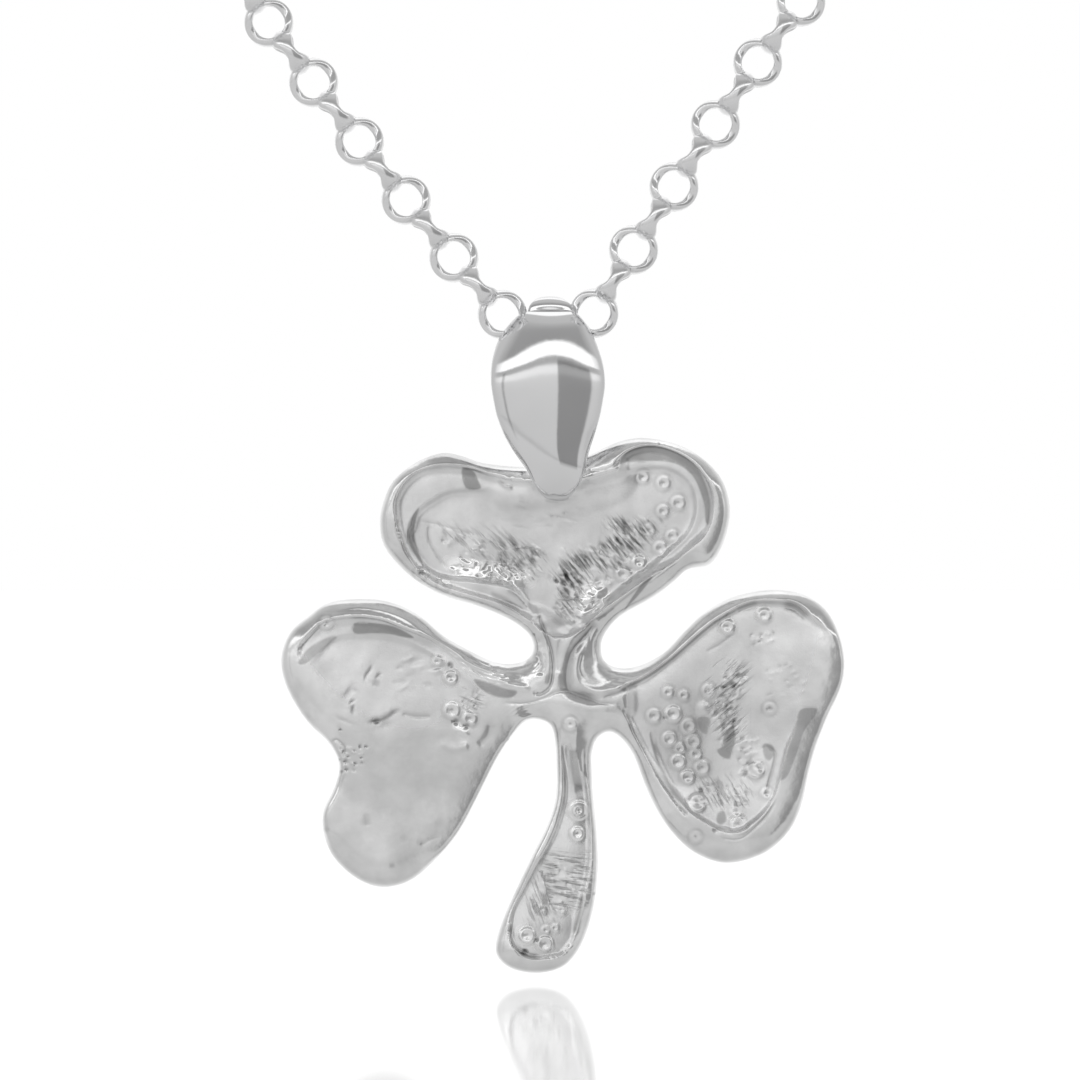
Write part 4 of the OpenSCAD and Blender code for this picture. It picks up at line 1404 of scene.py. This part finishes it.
@dataclass
class Chain:
    """The belcher chain: a waisted, crowned link set on every link of the CAD chain."""

    link_r: float = 1.45
    wall: float = 0.36
    stouter: float = 0.2  # more wall halfway between its neighbours
    waist: float = 0.34
    flare: float = 0.66
    flare_from: float = 0.1  # sine of the turn from the band's waist where it starts to widen
    flare_over: float = 0.72  # and how far it takes to be full
    barrel: float = 0.2  # how far the band's edges fall back where it flares
    near_reach: float = 27.0  # links no higher than this above the lowest one have more faces
    near_faces: int = 48
    far_faces: int = 16
    next_link: float = 3.0  # a link nearer than this is a neighbour
    # Across the band: share of the wall from its inside, share of its half width
    band: Rows = (
        (0, 0), (0.05, 0.7), (0.2, 0.96), (0.5, 1), (0.8, 0.9), (0.96, 0.58),
        (1, 0), (0.96, -0.58), (0.8, -0.9), (0.5, -1), (0.2, -0.96), (0.05, -0.7),
    )

    def template(self, around: int, every: int) -> bpy.types.Object:
        """One link, its hole along Z and the chain along Y.

        Args:
            around: Faces round the ring.
            every: Which points of the band's section are kept.

        Returns:
            The link, in millimetres.
        """
        band = np.array(self.band[::every])
        turn = (np.arange(around) * 2 * math.pi / around)[:, None]
        widening = (np.abs(np.sin(turn)) - self.flare_from) / self.flare_over
        half = self.waist + (self.flare - self.waist) * ease(widening)
        wall = self.wall + self.stouter * np.cos(turn) ** 2
        radius = self.link_r - wall * (1 - band[:, 0]) - self.barrel * (band[:, 1] * np.sin(turn)) ** 2
        ring = [np.cos(turn) * radius, np.sin(turn) * radius, half * band[:, 1]]
        return closed_ring("link", np.stack(ring, axis=2))

    def links(self, node: bpy.types.Object) -> list[np.ndarray]:
        """Place and turn of every CAD link.

        Args:
            node: The CAD chain.

        Returns:
            One 4 by 4 matrix each, in metres, lowest link first.
        """
        bpy.ops.object.select_all(action="DESELECT")
        copy = node.copy()
        copy.data = copy.data.copy()
        copy.parent = None
        bpy.context.scene.collection.objects.link(copy)
        edit(copy)
        bpy.ops.mesh.remove_doubles(threshold=1e-6)
        bpy.ops.mesh.separate(type="LOOSE")
        close_edit()
        loose = list(bpy.context.selected_objects)
        middles, axes = [], []
        for part in loose:
            places = read_places(part.data)
            middle = (places.min(axis=0) + places.max(axis=0)) / 2
            middles.append(middle)
            axes.append(np.linalg.eigh(np.cov((places - middle).T))[1][:, 0])
        bpy.ops.object.delete()
        middles, axes = np.array(middles), np.array(axes)
        matrices = []
        for k in np.argsort(middles[:, 2]):
            gaps = np.linalg.norm(middles - middles[k], axis=1)
            first, second = np.argsort(gaps)[1:3]
            before = second if gaps[second] < self.next_link * METRE else k
            along = middles[first] - middles[before]
            along -= along @ axes[k] * axes[k]
            along /= np.linalg.norm(along)
            matrix = np.eye(4)
            matrix[:3, 0], matrix[:3, 1], matrix[:3, 2] = np.cross(along, axes[k]), along, axes[k]
            matrix[:3, 3] = middles[k]
            matrices.append(matrix)
        return matrices

    def build(self, matrices: list[np.ndarray]) -> bpy.types.Object:
        """The finished chain on its body.

        Args:
            matrices: Place and turn of every link.

        Returns:
            The piece that stands for the CAD node "chain".
        """
        near, far = self.template(self.near_faces, 1), self.template(self.far_faces, 2)
        lowest = matrices[0][2, 3]
        copies = []
        for matrix in matrices:
            model = near if matrix[2, 3] < lowest + self.near_reach * METRE else far
            copy = model.copy()
            copy.data = model.data.copy()
            turned = read_places(copy.data) @ (matrix[:3, :3] * METRE).T
            write_places(copy.data, turned + matrix[:3, 3])
            bpy.context.scene.collection.objects.link(copy)
            copies.append(copy)
        bpy.ops.object.select_all(action="DESELECT")
        for model in (near, far):
            model.select_set(True)
        bpy.ops.object.delete()
        for copy in copies:
            copy.select_set(True)
        bpy.context.view_layer.objects.active = copies[0]
        bpy.ops.object.join()
        piece = bpy.context.object
        piece.name = "belcher_links"
        smooth_shading(piece)
        dress(piece, CHAIN_FINISH, "necklace")
        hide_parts("chain")
        return piece


@dataclass
class Studio:
    """White room with a pale glossy floor, soft lights and the photograph's camera."""

    origin: Vector
    floor_drop: float = 35.7
    floor_size: float = 6.0  # in metres
    distance: float = 400.0  # of the camera
    sensor: float = 36.0
    # Brightness of the room, by how far a face that mirrors it to the front tilts up, in degrees
    room: Rows = (
        (-90, 0.68), (-70, 0.64), (-45, 0.58), (-25, 0.63), (-11, 0.66), (-10, 0.53), (-9.3, 0.53),
        (-8.5, 0.64), (0, 0.68), (4, 0.73), (6, 0.97), (8.2, 0.97), (9.2, 0.48), (12, 0.46), (12.6, 1.3),
        (18.6, 1.3), (19.3, 0.35), (27, 0.38), (36, 0.57), (50, 0.6), (53, 1.2), (67, 1.2), (71, 0.62),
        (90, 0.64),
    )
    # The darker side of the room, by how far such a face turns to the right and tilts up
    shade_turns: Rows = (
        (-90, 0), (-36, 0), (-35, 0.75), (-34.0, 0.75), (-33, 0), (7.2, 0), (8, 1), (32, 1), (34, 0),
        (90, 0),
    )
    shade_tilts: Rows = ((-90, 0), (-14, 0), (-9, 1), (9.5, 1), (11.5, 0), (90, 0))
    right_shade: float = 0.46
    # Beyond these turns to either side the room grows even, but not where a face tilts up steeply
    side_turns: tuple[float, float] = (37.0, 47.0)
    side_tilts: Rows = ((-90, 1), (30, 1), (44, 0), (90, 0))
    side_brightness: float = 0.6
    # How far back a direction points where the backdrop's white starts, and where it is full
    backdrop: tuple[float, float] = (0.45, 0.96)
    floor_glow: float = 1.25
    floor_grey: float = 0.9
    floor_roughness: float = 0.06
    board_share: float = 0.1  # of the plain board in the floor's glow
    gloss_share: float = 0.57  # of the gloss in the whole

    def world(self) -> None:
        """Surrounds the object with a plain studio, white where the camera sees it."""
        world = bpy.data.worlds.new("studio")
        bpy.context.scene.world = world
        world.use_nodes = True
        world.node_tree.nodes.clear()
        wires = Wiring(world.node_tree)
        way = wires.add("TexCoord", "Generated")
        # A face turned halfway between this direction and the front mirrors it to the front
        halfway = wires.add("VectorMath", "Vector", {0: way, 1: (0, -1, 0)}, operation="ADD")
        unit = wires.add("VectorMath", "Vector", {0: halfway}, operation="NORMALIZE")
        right, back, up = wires.add("SeparateXYZ", "X", {"Vector": unit}).node.outputs
        tilt = wires.math("DEGREES", wires.math("ARCSINE", up))
        turn = wires.math("DEGREES", wires.math("ARCTAN2", right, wires.math("MULTIPLY", back, -1.0)))
        turned, tilted = wires.table(turn, self.shade_turns), wires.table(tilt, self.shade_tilts)
        shade = wires.math("MULTIPLY", wires.math("MULTIPLY", turned, tilted), 1 - self.right_shade)
        kept = wires.math("SUBTRACT", 1.0, shade)
        facing = wires.math("MULTIPLY", wires.table(tilt, self.room), kept)
        aside = wires.stretch(wires.math("ABSOLUTE", turn), *self.side_turns)
        beside = wires.math("MULTIPLY", aside, wires.table(tilt, self.side_tilts))
        even = wires.math("MULTIPLY", beside, self.side_brightness)
        facing = wires.math("MULTIPLY", facing, wires.math("SUBTRACT", 1.0, beside))
        front = wires.math("ADD", facing, even)
        backward = wires.add("SeparateXYZ", "Y", {"Vector": way})
        wall = {"Factor": wires.stretch(backward, *self.backdrop), "A": front, "B": 1.0}
        wall = wires.add("Mix", "Result", wall, data_type="FLOAT")
        around = wires.add("Background", "Background", {"Color": wall})
        seen = wires.add("Background", "Background", {"Color": WHITE})
        rays = wires.add("LightPath", "Is Camera Ray")
        wires.finish("World", wires.add("MixShader", "Shader", {"Fac": rays, 1: around, 2: seen}))

    def floor(self) -> None:
        """Lays the pale floor, glossy enough for a faint reflection."""
        bpy.ops.object.select_all(action="DESELECT")
        bpy.ops.mesh.primitive_plane_add(
            size=self.floor_size,
            location=(self.origin.x, self.origin.y, self.origin.z - self.floor_drop * METRE),
        )
        plane = bpy.context.object
        plane.name = "floor"
        bpy.ops.object.transform_apply(location=True)
        plane.visible_glossy = False
        material = bpy.data.materials.new("pale glossy board")
        material.use_nodes = True
        material.node_tree.nodes.clear()
        wires = Wiring(material.node_tree)
        white = wires.add("Emission", "Emission", {"Color": WHITE, "Strength": self.floor_glow})
        board = wires.add("BsdfDiffuse", "BSDF", {"Color": (*(3 * [self.floor_grey]), 1)})
        gloss = wires.add("BsdfGlossy", "BSDF", {"Color": WHITE, "Roughness": self.floor_roughness})
        pale = wires.add("MixShader", "Shader", {"Fac": self.board_share, 1: white, 2: board})
        polished = wires.add("MixShader", "Shader", {"Fac": self.gloss_share, 1: pale, 2: gloss})
        wires.finish("Material", polished)
        plane.data.materials.append(material)

    def lights(self) -> None:
        """Hangs three soft area lights: overhead, left and right."""
        for name, offset, size, power in (
            ("overhead light", (0, -120, 520), 0.5, 1.2),
            ("left light", (-520, -260, 120), 0.5, 0.9),
            ("right light", (520, -200, 160), 0.4, 0.6),
        ):
            bpy.ops.object.light_add(type="AREA", location=self.origin + Vector(offset) * METRE)
            light = bpy.context.object
            light.name = name
            light.data.shape = "SQUARE"
            light.data.size = size
            light.data.energy = power
            light.visible_camera = False
            light.visible_glossy = False
            light.rotation_euler = (self.origin - light.location).to_track_quat("-Z", "Y").to_euler()

    def camera(self) -> None:
        """Sets the camera level and straight in front, at the photograph's scale."""
        centre = PHOTO.flat(((PHOTO.side / 2, PHOTO.side / 2),))[0]
        aim = self.origin + Vector((centre[0], 0, centre[1])) * METRE
        bpy.ops.object.camera_add(
            location=aim + Vector((0, -self.distance * METRE, 0)), rotation=(math.pi / 2, 0, 0)
        )
        camera = bpy.context.object
        camera.name = "camera"
        camera.data.sensor_width = self.sensor
        camera.data.lens = self.sensor * self.distance / PHOTO.length(PHOTO.side)
        camera.data.clip_start, camera.data.clip_end = 0.01, 20
        bpy.context.scene.camera = camera

    def build(self) -> None:
        """Sets up room, floor, lights and camera."""
        self.world()
        self.floor()
        self.lights()
        self.camera()
        view = bpy.context.scene.view_settings
        view.view_transform = "Standard"
        view.look = "None"


def dress(piece: bpy.types.Object, finish: SilverFinish, body: str) -> None:
    """Gives a piece its finish in its material slot, and its body.

    Args:
        piece: The finished piece.
        finish: What its surface is like.
        body: The CAD body that it moves with.
    """
    piece.data.materials.clear()
    piece.data.materials.append(finish.material())
    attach(piece, body)


def dress_node(node: bpy.types.Object, finish: SilverFinish) -> None:
    """Gives a CAD node a finish in place of its plain material."""
    for slot in node.material_slots:
        slot.material = finish.material()


def report(piece: bpy.types.Object) -> None:
    """Logs a piece's name and how many triangles it has."""
    piece.data.calc_loop_triangles()
    log.info("%s: %d triangles", piece.name, len(piece.data.loop_triangles))


def main() -> None:
    """Builds every piece round the CAD frame, then the studio."""
    logging.basicConfig(level=logging.INFO, format="%(name)s: %(message)s")
    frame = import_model()
    chain = Chain()
    matrices = chain.links(frame["nodes"]["chain"])
    origin = Vector(matrices[0][:3, 3])
    report(chain.build(matrices))
    report(Casting(origin).build())
    report(Bail(origin).build())
    for name in ("end_ring", "clasp", "clasp_ring"):
        dress_node(frame["nodes"][name], CHAIN_FINISH)
    Studio(origin).build()


if __name__ == "__main__":
    main()
